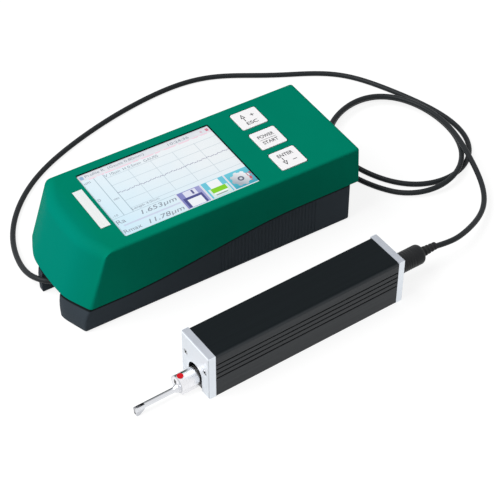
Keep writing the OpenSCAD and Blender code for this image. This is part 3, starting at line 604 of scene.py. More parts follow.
def shell_rows(shift, half, rear, nose_z, climb, round_z):
    """Plan outlines of the shell, one for each row. A row has its nose set back by shift, its sides
    at half, its rear at rear; heights are nose_z at the nose, and at the sides the parting line
    plus climb of the way to the rounded edge, or round_z where the edge has begun."""
    columns = (shift, half, rear, nose_z, climb, round_z)
    shift, half, rear, nose_z, climb, round_z = (np.asarray(v, float)[:, None] for v in columns)
    y = (half - NOSE_TRIM) * np.linspace(0, 1, NOSE_STEPS)
    nose = points(shift + bow(y), -y, nose_z)
    sharp_x = shift + bow(half)
    start_x = sharp_x + NOSE_TRIM
    side_x = start_x + np.linspace(0, 1, SIDE_STEPS) * (rear - REAR_TRIM - start_x)
    low = seam(side_x[:1])
    side_z = np.where(climb < 1, low + climb * (TOP - EDGE_ROUND - low), round_z)
    side = points(side_x, -half, side_z)
    nose_tip = points(sharp_x, -half, (nose_z + side_z[:, :1]) / 2)[:, 0]
    front_corner = corner(nose[:, -1], nose_tip, side[:, 0], 14)
    tail_z = side_z[:, -1:]
    tail = points(rear, (REAR_TRIM - half) * np.linspace(1, 0, TAIL_STEPS), tail_z)
    rear_tip = points(rear, -half, tail_z)[:, 0]
    rear_corner = corner(side[:, -1], rear_tip, tail[:, 0], 10)
    near = [nose, front_corner[:, 1:-1], side, rear_corner[:, 1:-1], tail]
    return mirrored(np.concatenate(near, axis=1))


round_low = TOP - NOSE_ROUND
round_back = (NOSE_ROUND + (round_low - SEAM_FRONT) * math.sin(LEAN)) / math.cos(LEAN)
wall_top = round_low + NOSE_ROUND * math.sin(LEAN)
climb = np.concatenate([[0, 0.012], np.linspace(0.06, 1, 14)])
wall_z = SEAM_FRONT + climb * (wall_top - SEAM_FRONT)
edge_in = np.where(climb == 0, SEAM_BEVEL, 0)
turn = np.linspace(0, 1, 15)[1:]
theta = LEAN + (math.pi / 2 - LEAN) * turn
side_turn = math.pi / 2 * turn
side_in = EDGE_ROUND * (1 - np.cos(side_turn))
rim_in = EDGE_ROUND + TOP_MARGIN
wall_back = (wall_z - SEAM_FRONT) * math.tan(LEAN) + edge_in
rear_wall, rear_top = REAR - REAR_LEAN * climb - edge_in, REAR - REAR_LEAN
green_rows = shell_rows(
    shift=np.concatenate([wall_back, round_back - NOSE_ROUND * np.cos(theta), [round_back + TOP_MARGIN]]),
    half=np.concatenate([HALF - edge_in, HALF - side_in, [HALF - rim_in]]),
    rear=np.concatenate([rear_wall, rear_top - side_in, [rear_top - rim_in]]),
    nose_z=np.concatenate([wall_z, round_low + NOSE_ROUND * np.sin(theta), [TOP]]),
    climb=np.concatenate([np.minimum(climb, BELOW_ONE), np.ones(len(turn) + 1)]),
    round_z=np.concatenate([climb, TOP - EDGE_ROUND + EDGE_ROUND * np.sin(side_turn), [TOP]]))
print("outside of the shell:", green_rows.shape[0], "rows of", green_rows.shape[1], "points")

# %% [markdown]
# The top is pierced by the screen window and three key openings, and has a shallow seat for a
# small plate. Each opening is a rounded rectangle with a softly rounded lip. Below the top the
# shell is hollow, with its floor closed over the cable tunnel.

# %% Openings and the finished shell
WINDOW = (32.7, 108.7, -25.5, 25.5)
KEYS_FROM, KEY_LONG, KEY_WIDE, KEY_PITCH, KEY_GAP, KEY_CORNER = 121.8, 14.9, 13.9, 18.3, 0.35, 1.0
BADGE = (25.4, 30.7, -14.9, 14.9)
CEILING, GLASS = 44.3, 45.5
LIP, WINDOW_LIP, KEY_LIP = 0.35, 0.12, 0.15
WINDOW_CORNER, POCKET_CORNER, GLASS_LIP, SLACK = 0.9, 0.3, 2.2, 0.04
BADGE_GAP, BADGE_CORNER, BADGE_SEAT = 0.12, 0.4, 0.32
CAVITY = (24.0, 157.8, -29.3, 29.3)
BAY_FROM, CAVITY_CORNER, TUNNEL_ROOF = 38.2, 2.0, 4.0


def grown(bounds, by):
    """A rectangle's sides, moved outward."""
    x0, x1, y0, y1 = bounds
    return (x0 - by, x1 + by, y0 - by, y1 + by)


def rounded_loop(bounds, radius, grow=0.0, steps=7):
    """Rounded rectangle, grown outward all round: corner centres stay, their radius grows."""
    x0, x1, y0, y1 = grown(bounds, -radius)
    centres = np.array([(x1, y1), (x0, y1), (x0, y0), (x1, y0)])
    a = quarter(steps) + np.arange(4)[:, None] * math.pi / 2
    arcs = centres[:, None] + (radius + grow) * np.stack([np.cos(a), np.sin(a)], axis=-1)
    return arcs.reshape(-1, 2)


def stack_loops(bounds, radius, grows, heights):
    """The same rounded rectangle at several heights, one row for each."""
    return np.stack([points(*rounded_loop(bounds, radius, g).T, z) for g, z in zip(grows, heights)])


def key_bounds(k, gap=0.0):
    """Sides of key k, which is -1, 0 or 1 across the unit, with a gap all round."""
    near = k * KEY_PITCH - KEY_WIDE / 2
    return grown((KEYS_FROM, KEYS_FROM + KEY_LONG, near, near + KEY_WIDE), gap)


def opening(bounds, radius, floor, lip=LIP):
    """Rows of an opening: a flat margin, a rounded lip, then straight down to floor."""
    a = quarter(6)
    grows = np.concatenate([[2 * lip], lip - lip * np.sin(a), [0]])
    heights = np.concatenate([[TOP], TOP - lip + lip * np.cos(a), [floor]])
    return stack_loops(bounds, radius, grows, heights)


green = Skin(on_display)
green.band(green_rows)
window_rows = np.concatenate([
    opening(WINDOW, WINDOW_CORNER, GLASS + SLACK, WINDOW_LIP),
    stack_loops(grown(WINDOW, GLASS_LIP), POCKET_CORNER, [0, 0], [GLASS + SLACK, CEILING])])
key_rows = [opening(key_bounds(k, KEY_GAP), KEY_CORNER + KEY_GAP, CEILING, KEY_LIP) for k in (-1, 0, 1)]
badge_rows = opening(grown(BADGE, BADGE_GAP), BADGE_CORNER, TOP - BADGE_SEAT)
for rows in (window_rows, badge_rows, *key_rows):
    green.band(rows)
green.plate(green_rows[-1], [rows[0] for rows in (window_rows, badge_rows, *key_rows)])
green.plate(badge_rows[-1])
bay_loop = rounded_loop((BAY_FROM, *CAVITY[1:]), CAVITY_CORNER)
cavity_loop = rounded_loop(CAVITY, CAVITY_CORNER)
cavity_rows = np.stack([
    points(*cavity_loop.T, CEILING), points(*cavity_loop.T, seam(cavity_loop[:, 0]) + TUNNEL_ROOF),
    points(*bay_loop.T, seam(bay_loop[:, 0]))])
green.band(cavity_rows)
green.plate(cavity_rows[0], [rows[-1] for rows in (window_rows, *key_rows)])
green.plate(green_rows[0], [cavity_rows[-1]])
green_shell = green.piece("green_shell", "tester", "green_shell", "upper_housing")

# %% [markdown]
# ## Black lower shell
# Two legs at the front with the cable tunnel between them, plain sides with a field of upright
# grip grooves towards the rear, and a foot line set in a little. It is one grid again: columns go
# round the plan and into the tunnel, and extra columns at each groove's edges let the grooves be
# real. Rows keep fixed distances from the table and from the parting line.

# %% Outside of the lower shell
BASE_LOW, BASE_HALF, BASE_REAR = 1.0, 31.25, 160.0
TUNNEL = (-12.95, 5.05)
TUNNEL_BACK = 36.0
WALL_LEAN, FAR_LEAN, WEB_LEAN = 2.35, 0.65, 1.9
WEB, BAY_BACK, LEG_TRIM = 10.1, 11.0, 1.0
FOOT_SLOPE, FOOT_FLAT, FOOT_SOFT, BASE_STEP = 0.375, 17.5, 2.0, 0.2
BASE_ROUND, BASE_BEVEL = 0.5, 0.35
RIBS, RIB_PITCH, RIB_WIDE, RIB_DEEP, RIB_FROM = 29, 2.0, 1.0, 0.2, 81.5
RIB_LOW, RIB_MARGIN, RIB_SLOPE = 2.6, 1.2, 0.14
SIDE_FROM, SIDE_TO, REAR_COLUMNS, PARTING = 16, 80, (143, 150), 0.02

round_turn = quarter(6)
low = np.concatenate([
    BASE_LOW + BASE_ROUND * (1 - np.cos(round_turn)), [RIB_LOW], [RIB_LOW + RIB_SLOPE] * 4, np.zeros(4)])
part = np.concatenate([np.zeros(8), [0.25, 0.5, 0.75], np.ones(4)])
drop = np.concatenate([np.zeros(8), [RIB_MARGIN + RIB_SLOPE] * 4, [RIB_MARGIN, BASE_BEVEL, PARTING]])
base_in = np.concatenate([BASE_ROUND * (1 - np.sin(round_turn)), np.zeros(8), [BASE_BEVEL]])
groove_row = np.concatenate([np.zeros(7), np.ones(5), np.zeros(3)])


def base_z(x):
    """Row heights: part of the way from a fixed height to a fixed drop below the parting line."""
    return (1 - part[:, None]) * low[:, None] + part[:, None] * (seam(x) - drop[:, None])


front_z = base_z(np.zeros(1))[:, 0]
up_front = (front_z - BASE_LOW) / (SEAM_FRONT - BASE_LOW)
near_edge, far_edge, web_edge = (
    at - lean * (1 - up_front)
    for at, lean in ((TUNNEL[0], WALL_LEAN), (TUNNEL[1], FAR_LEAN), (WEB, WEB_LEAN)))


def base_front(y):
    """Front face: nearly upright, leaning back to the shell's nose as the cube of the height."""
    foot = FOOT_SLOPE * hinge(y, FOOT_FLAT, FOOT_SOFT)
    return foot + (bow(y) + BASE_STEP - foot) * up_front[:, None] ** 3 + base_in[:, None]


def upright(x, y):
    """One column of the front: a place for each row, at the front's heights."""
    return points(x, y, front_z)


def near_leg():
    """Front face of the near leg from the tunnel's edge to the corner, then the corner itself."""
    half = BASE_HALF - base_in
    start, stop = near_edge[:, None], (LEG_TRIM - half)[:, None]
    y = start + (stop - start) * np.linspace(0, 1, 24)
    face = points(base_front(y), y, front_z[:, None])
    tip = base_front(half[:, None])[:, 0]
    bend = corner(face[:, -1], upright(tip, -half), upright(tip + LEG_TRIM, -half), 10)
    return np.concatenate([face, bend[:, 1:]], axis=1)


def far_front():
    """Far side of the front: a set-back wall, then the web that stands forward beside the tunnel."""
    half, wall, web = BASE_HALF - base_in, BAY_BACK + base_in, web_edge - base_in
    tip = base_front(np.array([[WEB]]))[:, 0]
    outer = corner(upright(wall + LEG_TRIM, half), upright(wall, half), upright(wall, half - LEG_TRIM), 8)
    nib = corner(upright(tip + LEG_TRIM, web), upright(tip, web), upright(tip, web - LEG_TRIM), 8)
    return np.concatenate([outer, upright(wall, web)[:, None], nib, upright(tip, far_edge)[:, None]], axis=1)


across_groove = np.array([0, RIB_SLOPE, RIB_WIDE - RIB_SLOPE, RIB_WIDE])
groove_x = RIB_FROM + RIB_PITCH * np.arange(RIBS)[:, None] + across_groove
plain_front = np.linspace(SIDE_FROM, SIDE_TO, 12)
plain_rear = [*REAR_COLUMNS, BASE_REAR - REAR_TRIM]
side_x = np.concatenate([plain_front, groove_x.ravel(), plain_rear])
in_groove = np.concatenate([0 * plain_front, np.tile([0, 1, 1, 0], RIBS), np.zeros(len(plain_rear))])


def base_side(side):
    """One side from front to rear with its grooves: depth times the row's and the column's share."""
    half = (BASE_HALF - base_in)[:, None] - RIB_DEEP * groove_row[:, None] * in_groove
    return points(side_x, side * half, base_z(side_x))


def base_tail(side):
    """Rear corner and half of the rear face."""
    half, rear = BASE_HALF - base_in, BASE_REAR - base_in
    z = base_z(np.array([BASE_REAR]))[:, 0]
    turn_from = points(BASE_REAR - REAR_TRIM, side * half, z)
    turn_to = points(rear, side * (half - REAR_TRIM), z)
    return corner(turn_from, points(rear, side * half, z), turn_to, 9)[:, 1:]


tunnel_x = np.linspace(0, TUNNEL_BACK, 8)[1:]
near_wall, far_wall = (points(tunnel_x, edge[:, None], base_z(tunnel_x)) for edge in (near_edge, far_edge))
base_rows = np.concatenate([
    near_leg(), base_side(-1), base_tail(-1), base_tail(1)[:, ::-1], base_side(1)[:, ::-1],
    far_front(), far_wall, near_wall[:, ::-1]], axis=1)
print("outside of the lower shell:", base_rows.shape[0], "rows of", base_rows.shape[1], "points")

# %% Floor, screw bores and the finished lower shell
FLOOR, BASE_BAY = 3.2, 22.6
BORE, BORE_BEVEL, BORE_TOP = 2.9, 0.2, 4.6
POSTS = [(x, y) for x in (46.0, 134.0) for y in (-26.6, 26.6)]


def ring_rows(at, radii, heights, sides=32):
    """Circles about an upright axis, one row for each radius and height."""
    a = np.linspace(0, 2 * math.pi, sides, endpoint=False)
    r, z = (np.asarray(v, float)[:, None] for v in (radii, heights))
    return points(at[0] + r * np.cos(a), at[1] + r * np.sin(a), z)


base = Skin(on_display)
base.band(base_rows)
bore_radii, bore_heights = [BORE + BORE_BEVEL, BORE, BORE], [BASE_LOW, BASE_LOW + BORE_BEVEL, BORE_TOP]
bores = [ring_rows(at, bore_radii, bore_heights) for at in POSTS]
for rows in bores:
    base.band(rows)
    base.plate(rows[-1])
base.plate(base_rows[0], [rows[0] for rows in bores])
pit_loop = rounded_loop((BAY_FROM, CAVITY[1], -BASE_BAY, BASE_BAY), CAVITY_CORNER)
pit_rows = np.stack([points(*pit_loop.T, FLOOR), points(*pit_loop.T, seam(pit_loop[:, 0]) - PARTING)])
base.band(pit_rows)
base.plate(pit_rows[0])
base.plate(base_rows[-1], [pit_rows[1]])
base_shell = base.piece("base_shell", "tester", "black_shell", "lower_housing")

# %% [markdown]
# ## Keys
# Three white caps, each with a softly rounded edge, a flange that keeps it under the top, and a
# stem over its switch. A cap is the same rounded rectangle at several heights, and it rides on
# its own body, so it can be pressed.

# %% Key caps
KEY_TOP, KEY_SOFT = 46.62, 0.2
FLANGE, FLANGE_LOW, FLANGE_TOP, KEY_MARGIN = 0.9, 43.0, 44.0, 0.4
STEM_LOW, STEM_HALF, STEM_CORNER = 41.8, 2.4, 0.4
key_names = {-1: "enter_key", 0: "start_key", 1: "up_key"}
soft = quarter(6)
cap_grows = np.concatenate([
    [FLANGE, FLANGE, 0], -KEY_SOFT * (1 - np.cos(soft)), [-KEY_SOFT - KEY_MARGIN]])
cap_heights = np.concatenate([
    [FLANGE_LOW, FLANGE_TOP, FLANGE_TOP], KEY_TOP - KEY_SOFT * (1 - np.sin(soft)), [KEY_TOP]])
key_caps = []
for k, body in key_names.items():
    cap = Skin(on_display)
    rows = stack_loops(key_bounds(k), KEY_CORNER, cap_grows, cap_heights)
    centre = (KEYS_FROM + KEY_LONG / 2, KEYS_FROM + KEY_LONG / 2, k * KEY_PITCH, k * KEY_PITCH)
    stem = stack_loops(grown(centre, STEM_HALF), STEM_CORNER, [0, 0], [FLANGE_LOW, STEM_LOW])
    cap.band(rows)
    cap.plate(rows[-1])
    cap.band(stem)
    cap.plate(stem[-1])
    cap.plate(rows[0], [stem[0]])
    key_caps.append(cap.piece(body + "_cap", body, "white_keys", body))

# %% [markdown]
# ## Lettering
# Key legends and the readings on the screen are thin printed shapes. A text curve is made a mesh,
# measured, and stretched to the box that the words fill on the real unit; arrows and bars are
# loops closed by plates. Drawing them in a material would blur at a distance, and a raised mesh
# keeps its edge in any view.

# %% Words and signs
INK, INK_SUNK, LEGEND_BOLD = 0.03, 0.005, 0.012


def print_words(skin, words, box, height, slant=0.0, bold=0.0):
    """Adds words to a skin: the text's own box is mapped to box = (x0, x1, y0, y1)."""
    text = bpy.data.curves.new("words", "FONT")
    text.body, text.extrude, text.shear, text.offset = words, 0.01, slant, bold
    holder = bpy.data.objects.new("words", text)
    bpy.context.scene.collection.objects.link(holder)
    graph = bpy.context.evaluated_depsgraph_get()
    mesh = bpy.data.meshes.new_from_object(holder.evaluated_get(graph))
    spots = np.empty(len(mesh.vertices) * 3)
    mesh.vertices.foreach_get("co", spots)
    spots = spots.reshape(-1, 3)
    low, high = spots.min(axis=0), spots.max(axis=0)
    share = (spots - low) / (high - low)
    x0, x1, y0, y1 = box
    index = skin.add(np.array([x0, y0, height]) + share * np.array([x1 - x0, y1 - y0, INK]))
    skin.faces += [[int(index[v]) for v in face.vertices] for face in mesh.polygons]
    bpy.data.objects.remove(holder)
    bpy.data.curves.remove(text)
    bpy.data.meshes.remove(mesh)


def print_sign(skin, outline, height, holes=()):
    """Adds a thin flat sign with closed edges: each loop is a band, plates close both faces."""
    levels = (height, height + INK)
    loops = [np.stack([points(*np.asarray(loop, float).T, z) for z in levels]) for loop in (outline, *holes)]
    for rows in loops:
        skin.band(rows)
    for level in (0, 1):
        skin.plate(loops[0][level], [rows[level] for rows in loops[1:]])


def bar(x0, x1, y0, y1):
    return [(x0, y0), (x1, y0), (x1, y1), (x0, y1)]


def plus(arm, half):
    """Outline of a plus sign about the origin: three points of one arm, turned by four quarters."""
    first = np.array([(arm, -half), (arm, half), (half, half)])
    quarter_turn = np.array([(0, 1), (-1, 0)])
    return np.concatenate([first @ np.linalg.matrix_power(quarter_turn, k) for k in range(4)])


def arrow(x, tail, tip, wide=1.35, stem=0.21, long=3.2, line=0.34):
    """Outline and inner loop of a hollow arrow head with a short stem, pointing from tail to tip."""
    way = 1 if tip > tail else -1
    neck = tip - way * long
    outline = [(x - stem, tail), (x + stem, tail), (x + stem, neck), (x + wide, neck),
               (x, tip), (x - wide, neck), (x - stem, neck)]
    inner, floor = wide - 2.1 * line, neck + way * line
    return outline, [(x - inner, floor), (x + inner, floor), (x, tip - way * 2.9 * line)]


LEGENDS = {
    1: [("ESC", (126.1, 132.5, 13.7, 16.0))],
    0: [("POWER", (124.5, 133.7, 1.0, 3.4)), ("START", (124.8, 133.5, -3.9, -1.5))],
    -1: [("ENTER", (125.0, 133.9, -16.5, -14.1))],
}
SIGNS = {
    1: [arrow(126.7, 16.9, 22.8), (plus(1.1, 0.2) + (132.2, 20.2), None)],
    0: [(bar(124.4, 133.8, -0.42, -0.2), None)],
    -1: [arrow(126.5, -17.1, -22.9), (bar(130.7, 133.2, -20.9, -20.5), None)],
}
legend_pieces = []
for k, body in key_names.items():
    print_on = Skin(on_display)
    for words, box in LEGENDS[k]:
        print_words(print_on, words, box, KEY_TOP - INK_SUNK, bold=LEGEND_BOLD)
    for outline, hole in SIGNS[k]:
        print_sign(print_on, outline, KEY_TOP - INK_SUNK, [hole] if hole else [])
    legend_pieces.append(print_on.piece(body + "_legend", body, "switch_black"))

# %% [markdown]
# The screen shows a profile with its scales and two results. Its fine lines and buttons are
# painted later; the figures and letters are printed here, just over the glass.

# %% Screen figures
SCREEN_X, SCREEN_Y = 33.26, -24.62
SHRINK_X, SHRINK_Y = 0.9926, 0.9827


def on_screen(x0, x1, y0, y1):
    """A box measured from the screen's near left corner, in display unit millimetres."""
    x0, x1 = (SCREEN_X + x * SHRINK_X for x in (x0, x1))
    y0, y1 = (SCREEN_Y + y * SHRINK_Y for y in (y0, y1))
    return x0, x1, y0, y1


RESULT_SLANT, RESULT_BOLD = 0.22, 0.004
RESULTS = [("1.653µm", (14.6, 34.2, 8.7, 12.4)), ("11.78µm", (14.6, 34.2, 0.9, 4.6))]
LABELS = [
    ("Ra", (0.9, 5.4, 8.9, 11.9)), ("Rmax", (0.9, 10.4, 1.6, 4.2)),
    ("Profile R  (Gauss 0.80mm)", (3.6, 37.0, 47.4, 49.8)), ("10:24:36", (51.0, 63.0, 47.5, 49.3)),
    ("um", (0.8, 4.2, 43.2, 44.6)), ("V 10um  H 0.5mm  GAUSS", (12.2, 42.5, 43.0, 44.9)),
    ("0", (0.7, 2.2, 28.5, 30.6)), ("mm", (7.8, 10.6, 25.3, 26.5)),
    ("-10", (1.2, 4.2, 14.6, 16.0)), ("Length 4.0mm", (12.0, 27.2, 14.2, 16.1)),
]
figures = Skin(on_display)
for words, box in RESULTS:
    print_words(figures, words, on_screen(*box), GLASS - INK_SUNK, RESULT_SLANT, RESULT_BOLD)
for words, box in LABELS:
    print_words(figures, words, on_screen(*box), GLASS - INK_SUNK)
screen_figures = figures.piece("screen_figures", "tester", "display_panel")

# %% [markdown]
# ## Plate screws
# Four countersunk screws hold the end plates. A turned head with a cross recess is a disc plate
# with a cross-shaped hole, the cross carried down as a band, and the cone and shank below.

# %% Plate screws
SCREW_ACROSS, SCREW_HIGH = 8.0, 15.5
HEAD_PROFILE = [(1.55, 0.03), (1.8, 0.05), (1.93, 0.14), (1.84, 0.2), (1.1, 0.9), (1.1, 9.0)]
CROSS_ARM, CROSS_HALF, CROSS_TURN = 1.3, 0.36, math.radians(28)
CROSS_TAPER = [(1.0, 0.03), (0.96, 0.12), (0.7, 0.8)]
screw_turn = np.linspace(0, 2 * math.pi, 40, endpoint=False)
round_loop = np.stack([np.cos(screw_turn), np.sin(screw_turn)], axis=1)
cos_turn, sin_turn = math.cos(CROSS_TURN), math.sin(CROSS_TURN)
cross_loop = plus(CROSS_ARM, CROSS_HALF) @ np.array([(cos_turn, sin_turn), (-sin_turn, cos_turn)])


def sunk_rows(loop, steps, side, start, way):
    """A loop about a screw's axis, one row for each (scale, depth below the plate's face)."""
    scale, depth = np.array(steps).T[:, :, None]
    across = side * SCREW_ACROSS + loop[:, 0] * scale
    return points(start + way * depth, across, SCREW_HIGH + loop[:, 1] * scale)


screws = Skin(on_drive)
for start, way in ((0.0, 1.0), (DRIVE_LONG, -1.0)):
    for side in (-1, 1):
        head = sunk_rows(round_loop, HEAD_PROFILE, side, start, way)
        recess = sunk_rows(cross_loop, CROSS_TAPER, side, start, way)
        screws.band(head)
        screws.band(recess)
        screws.plate(head[0], [recess[0]], axes=(1, 2))
        screws.plate(recess[-1], axes=(1, 2))
        screws.plate(head[-1], axes=(1, 2))
plate_screws = screws.piece("end_plate_screws", "tester", "screw_dark", "plate_screws")

# %% [markdown]
# ## Finishes
# The moulded plastics share one recipe: a colour that wanders slightly, as pigment does, a fine
# spark texture from the mould that catches the light, and a roughness that follows it. What
# differs from part to part is the colour, the depth of the texture and the shine.

# %% Moulded plastic, rubber and cable
MOULD_DEEP, MOULD_SPAN = 0.00004, 0.18


def shades(colour, darker, lighter):
    """The colour less one share of its light, and with another share more."""
    return [(*(c * share for c in tint(*colour)[:3]), 1.0) for share in (1 - darker, 1 + lighter)]


def moulded(name, colour, roughness, specular, grain=0.35, wander=0.10, scale=2600):
    """Plastic from a textured mould: colour = mix of a darker and a lighter shade by slow noise."""
    paint = Paint(name, Specular_IOR_Level=specular)
    slow = paint.noise(45, 3)
    fine = paint.noise(scale, 3)
    paint.colour = paint.mix(slow, *shades(colour, wander, wander))
    paint.feed("Base Color", paint.colour)
    paint.feed("Roughness", roughness - MOULD_SPAN / 2 + MOULD_SPAN * fine)
    paint.bump(fine, grain, MOULD_DEEP)
    return paint


green_paint = moulded("green_moulding", (0, 129, 103), 0.55, 0.006, wander=0.06)
black_paint = moulded("black_moulding", (56, 64, 71), 0.55, 0.05, grain=0.5)
key_paint = moulded("white_key_cap", (254, 253, 255), 0.38, 0.3, grain=0.08, wander=0.005)
ink_paint = moulded("legend_ink", (52, 54, 58), 0.6, 0.1, grain=0.1)
figure_paint = moulded("screen_ink", (146, 154, 166), 0.5, 0.1, grain=0.1)
switch_paint = moulded("switch_black", (34, 34, 36), 0.5, 0.3)
rubber_paint = moulded("foot_rubber", (24, 24, 25), 0.75, 0.15, grain=0.8, scale=1500)
cable_paint = moulded("cable_jacket", (28, 32, 35), 0.5, 0.2, grain=0.3, scale=3500)
plug_paint = moulded("plug_moulding", (27, 29, 31), 0.45, 0.2, grain=0.3)
boot_paint = moulded("boot_moulding", (30, 31, 32), 0.6, 0.25, grain=0.4)
battery_paint = moulded("battery_wrap", (32, 66, 128), 0.35, 0.4, grain=0.2)
panel_paint = moulded("panel_frame", (150, 154, 158), 0.4, 0.3)
red_paint = moulded("red_enamel", (206, 8, 26), 0.35, 0.2, grain=0.1)
print(len(bpy.data.materials), "materials so far")

# %% [markdown]
# The walls of the screen window and of the key gaps are painted near black, painted shade; a
# narrow band of the lower shell just under the parting line is painted dark, a painted shadow of the
# green shell's edge; and the nose is painted a shade bluer and lighter than the top, painted light
# bounced from the table. All of these are at known places, so they are drawn into the two finishes
# by position.

# %% Painted shade in the window and key gaps and under the parting line, painted light on the nose
GAP_SHADE_MARGIN, SEAM_SHADOW_BAND = 0.08, 1.2
NOSE_FADE, NOSE_SHARE = (-3, 7), 0.7
NOSE_BOUNCE_TEAL, GAP_SHADE_BLACK, SEAM_SHADOW_BLACK = (0, 134, 119), (6, 30, 27), (9, 18, 19)


def in_box(x, y, bounds):
    """1 where both values lie within the sides of a rectangle."""
    x0, x1, y0, y1 = bounds
    return x.between(x0, x1) * y.between(y0, y1)


back, across, height = green_paint.display()
# Painted shade: the walls of the screen window and of the key gaps are painted near black.
gap_shade = in_box(back, across, grown(WINDOW, GAP_SHADE_MARGIN))
for k in key_names:
    gap_shade = gap_shade + in_box(back, across, key_bounds(k, KEY_GAP + GAP_SHADE_MARGIN))
gap_shade = gap_shade * (height < TOP - GAP_SHADE_MARGIN)
# Painted light: the nose is tinted bluer and lighter, standing in for light bounced onto it from the table.
on_nose = 1 - (back - height * math.tan(LEAN)).ramp(*NOSE_FADE)
shell_colour = green_paint.mix(on_nose * NOSE_SHARE, green_paint.colour, tint(*NOSE_BOUNCE_TEAL))
green_paint.feed("Base Color", green_paint.mix(gap_shade, shell_colour, tint(*GAP_SHADE_BLACK)))
back, _, height = black_paint.display()
# Painted shadow: a dark band just under the parting line, where the green shell's edge shades the lower
# shell.
line_z = SEAM_FRONT + (SEAM_REAR - SEAM_FRONT) * back.ramp(SEAM_START, SEAM_END, "SMOOTHSTEP")
shaded_edge = (height - line_z).ramp(-SEAM_SHADOW_BAND, -SEAM_SHADOW_BAND / 2)
black_paint.feed("Base Color", black_paint.mix(shaded_edge, black_paint.colour, tint(*SEAM_SHADOW_BLACK)))
# Shows the height below which the gap walls are painted with shade.
print("lining below", TOP - GAP_SHADE_MARGIN, "mm")

# %% [markdown]
# The metals differ in how they were worked. Turned and ground parts have fine lines along one
# direction, which noise drawn out along that direction gives; blasted or plated parts have an
# even grain. All of it goes into roughness and bump, with only a little in the colour.

# %% Metals
TOOL_DEEP = 0.00002


def worked(name, colour, roughness, stretch=(1, 1, 1), turn=0.0, grain=0.15, scale=900, wander=0.06):
    """Metal with tool marks: noise drawn out along the marks moves colour, roughness and bump."""
    paint = Paint(name, Metallic=1.0)
    marks = paint.noise(scale, 4, stretch, turn)
    cloud = paint.noise(60, 2)
    paint.colour = paint.mix(marks, *shades(colour, wander, wander / 2))
    paint.feed("Base Color", paint.colour)
    paint.feed("Roughness", roughness - 0.08 + 0.12 * marks + 0.06 * cloud)
    paint.bump(marks, grain, TOOL_DEEP)
    return paint


LONG = (0.04, 1, 1)
badge_paint = worked("badge_brushed", (232, 235, 235), 0.36, (1, 0.03, 1), grain=0.12, scale=2600)
pickup_paint = worked("pickup_plated", (238, 238, 241), 0.26, (1, 0.05, 0.05), DRIVE_TURN, 0.06, 1800)
tube_paint = worked("tube_ground", (224, 226, 230), 0.22, LONG, DRIVE_TURN, 0.1, 2600)
rod_paint = worked("rod_ground", (200, 203, 206), 0.2, LONG, DRIVE_TURN)
inner_paint = worked("inner_milled", (176, 180, 184), 0.4, (1, 0.06, 1), DRIVE_TURN)
socket_paint = worked("socket_nickel", (150, 153, 157), 0.35)
screw_paint = worked("screw_zinc", (206, 209, 214), 0.35)
bronze_paint = worked("bush_bronze", (168, 128, 78), 0.42, grain=0.3)
brass_paint = worked("gear_brass", (186, 156, 88), 0.34)
motor_paint = worked("motor_can", (172, 174, 178), 0.3, LONG, DRIVE_TURN)
copper_paint = worked("coil_copper", (176, 96, 58), 0.35, (1, 0.05, 1), DRIVE_TURN, 0.5, 2200)
stylus_paint = worked("stylus_polished", (190, 193, 197), 0.22, LONG, DRIVE_TURN)
print(len(bpy.data.materials), "materials with the metals")

# %% [markdown]
# The end plates are blasted and clear anodised, so they look like pale satin rather than mirror:
# a base colour with a little metal in it. Their top behind the front bevel is painted greyer than
# the face, painted shade; their flanks are painted lighter and given more metal, a painted sheen;
# and the wall of the slot that the pickup comes out of is painted near black, painted shade.

# %% End plates
SLOT_HIGH, SLOT_ROUND, SLOT_DEEP = 8.4, 5.55, 5.0
PLATE_BEVEL, FLANK = 0.3, 0.2
RECESS_SHADE = (18, 20, 22)


def blasted():
    """Satin plate: the face colour at the front, painted shade on the top behind the bevel, a painted sheen
    on the flanks, and painted shade on the slot's wall, all by position.
    """
    paint = Paint("end_plate_silver", Specular_IOR_Level=0.3)
    u, v, z = paint.drive()
    rise = z - SLOT_HIGH
    grain = paint.noise(2400, 3)
    cloud = paint.noise(80, 2)
    face = paint.mix(cloud, tint(223, 229, 237), tint(239, 244, 249))
    # Painted shade: this greyer colour goes on the top and the faces behind the front bevel.
    edge = paint.mix(cloud, tint(176, 181, 190), tint(198, 203, 212))
    # Painted sheen: the flanks keep the lighter face colour and get more metal.
    sheen_flank = abs(v) > DRIVE_HALF - FLANK
    colour = paint.mix((u.lesser(DRIVE_LONG - u) > PLATE_BEVEL) * (1 - sheen_flank), face, edge)
    # Painted shade: the wall of the slot is painted near black.
    slot = (v * v + rise * rise < SLOT_ROUND**2).either((abs(v) < SLOT_ROUND) * (rise < 0))
    paint.feed("Base Color", paint.mix(slot * (u < SLOT_DEEP), colour, tint(*RECESS_SHADE)))
    paint.feed("Metallic", 0.25 + 0.65 * sheen_flank)
    paint.feed("Roughness", 0.42 + 0.12 * grain)
    paint.bump(grain, 0.15, TOOL_DEEP)
    return paint


plate_paint = blasted()
print("slot of the front plate", 2 * SLOT_ROUND, "mm wide")

# %% [markdown]
# Small recesses and other places are drawn by position too. The pickup's face has a key slot
# painted near black and a rim painted greyer, both painted shade. The tube has a darker strip along
# its top, a painted reflection; at its tip a dark eye and one side of its end darker, painted shade;
# the skid below it painted greyer with a slit painted dark, painted shade; and the recess of each
# plate screw painted dark, painted shade.

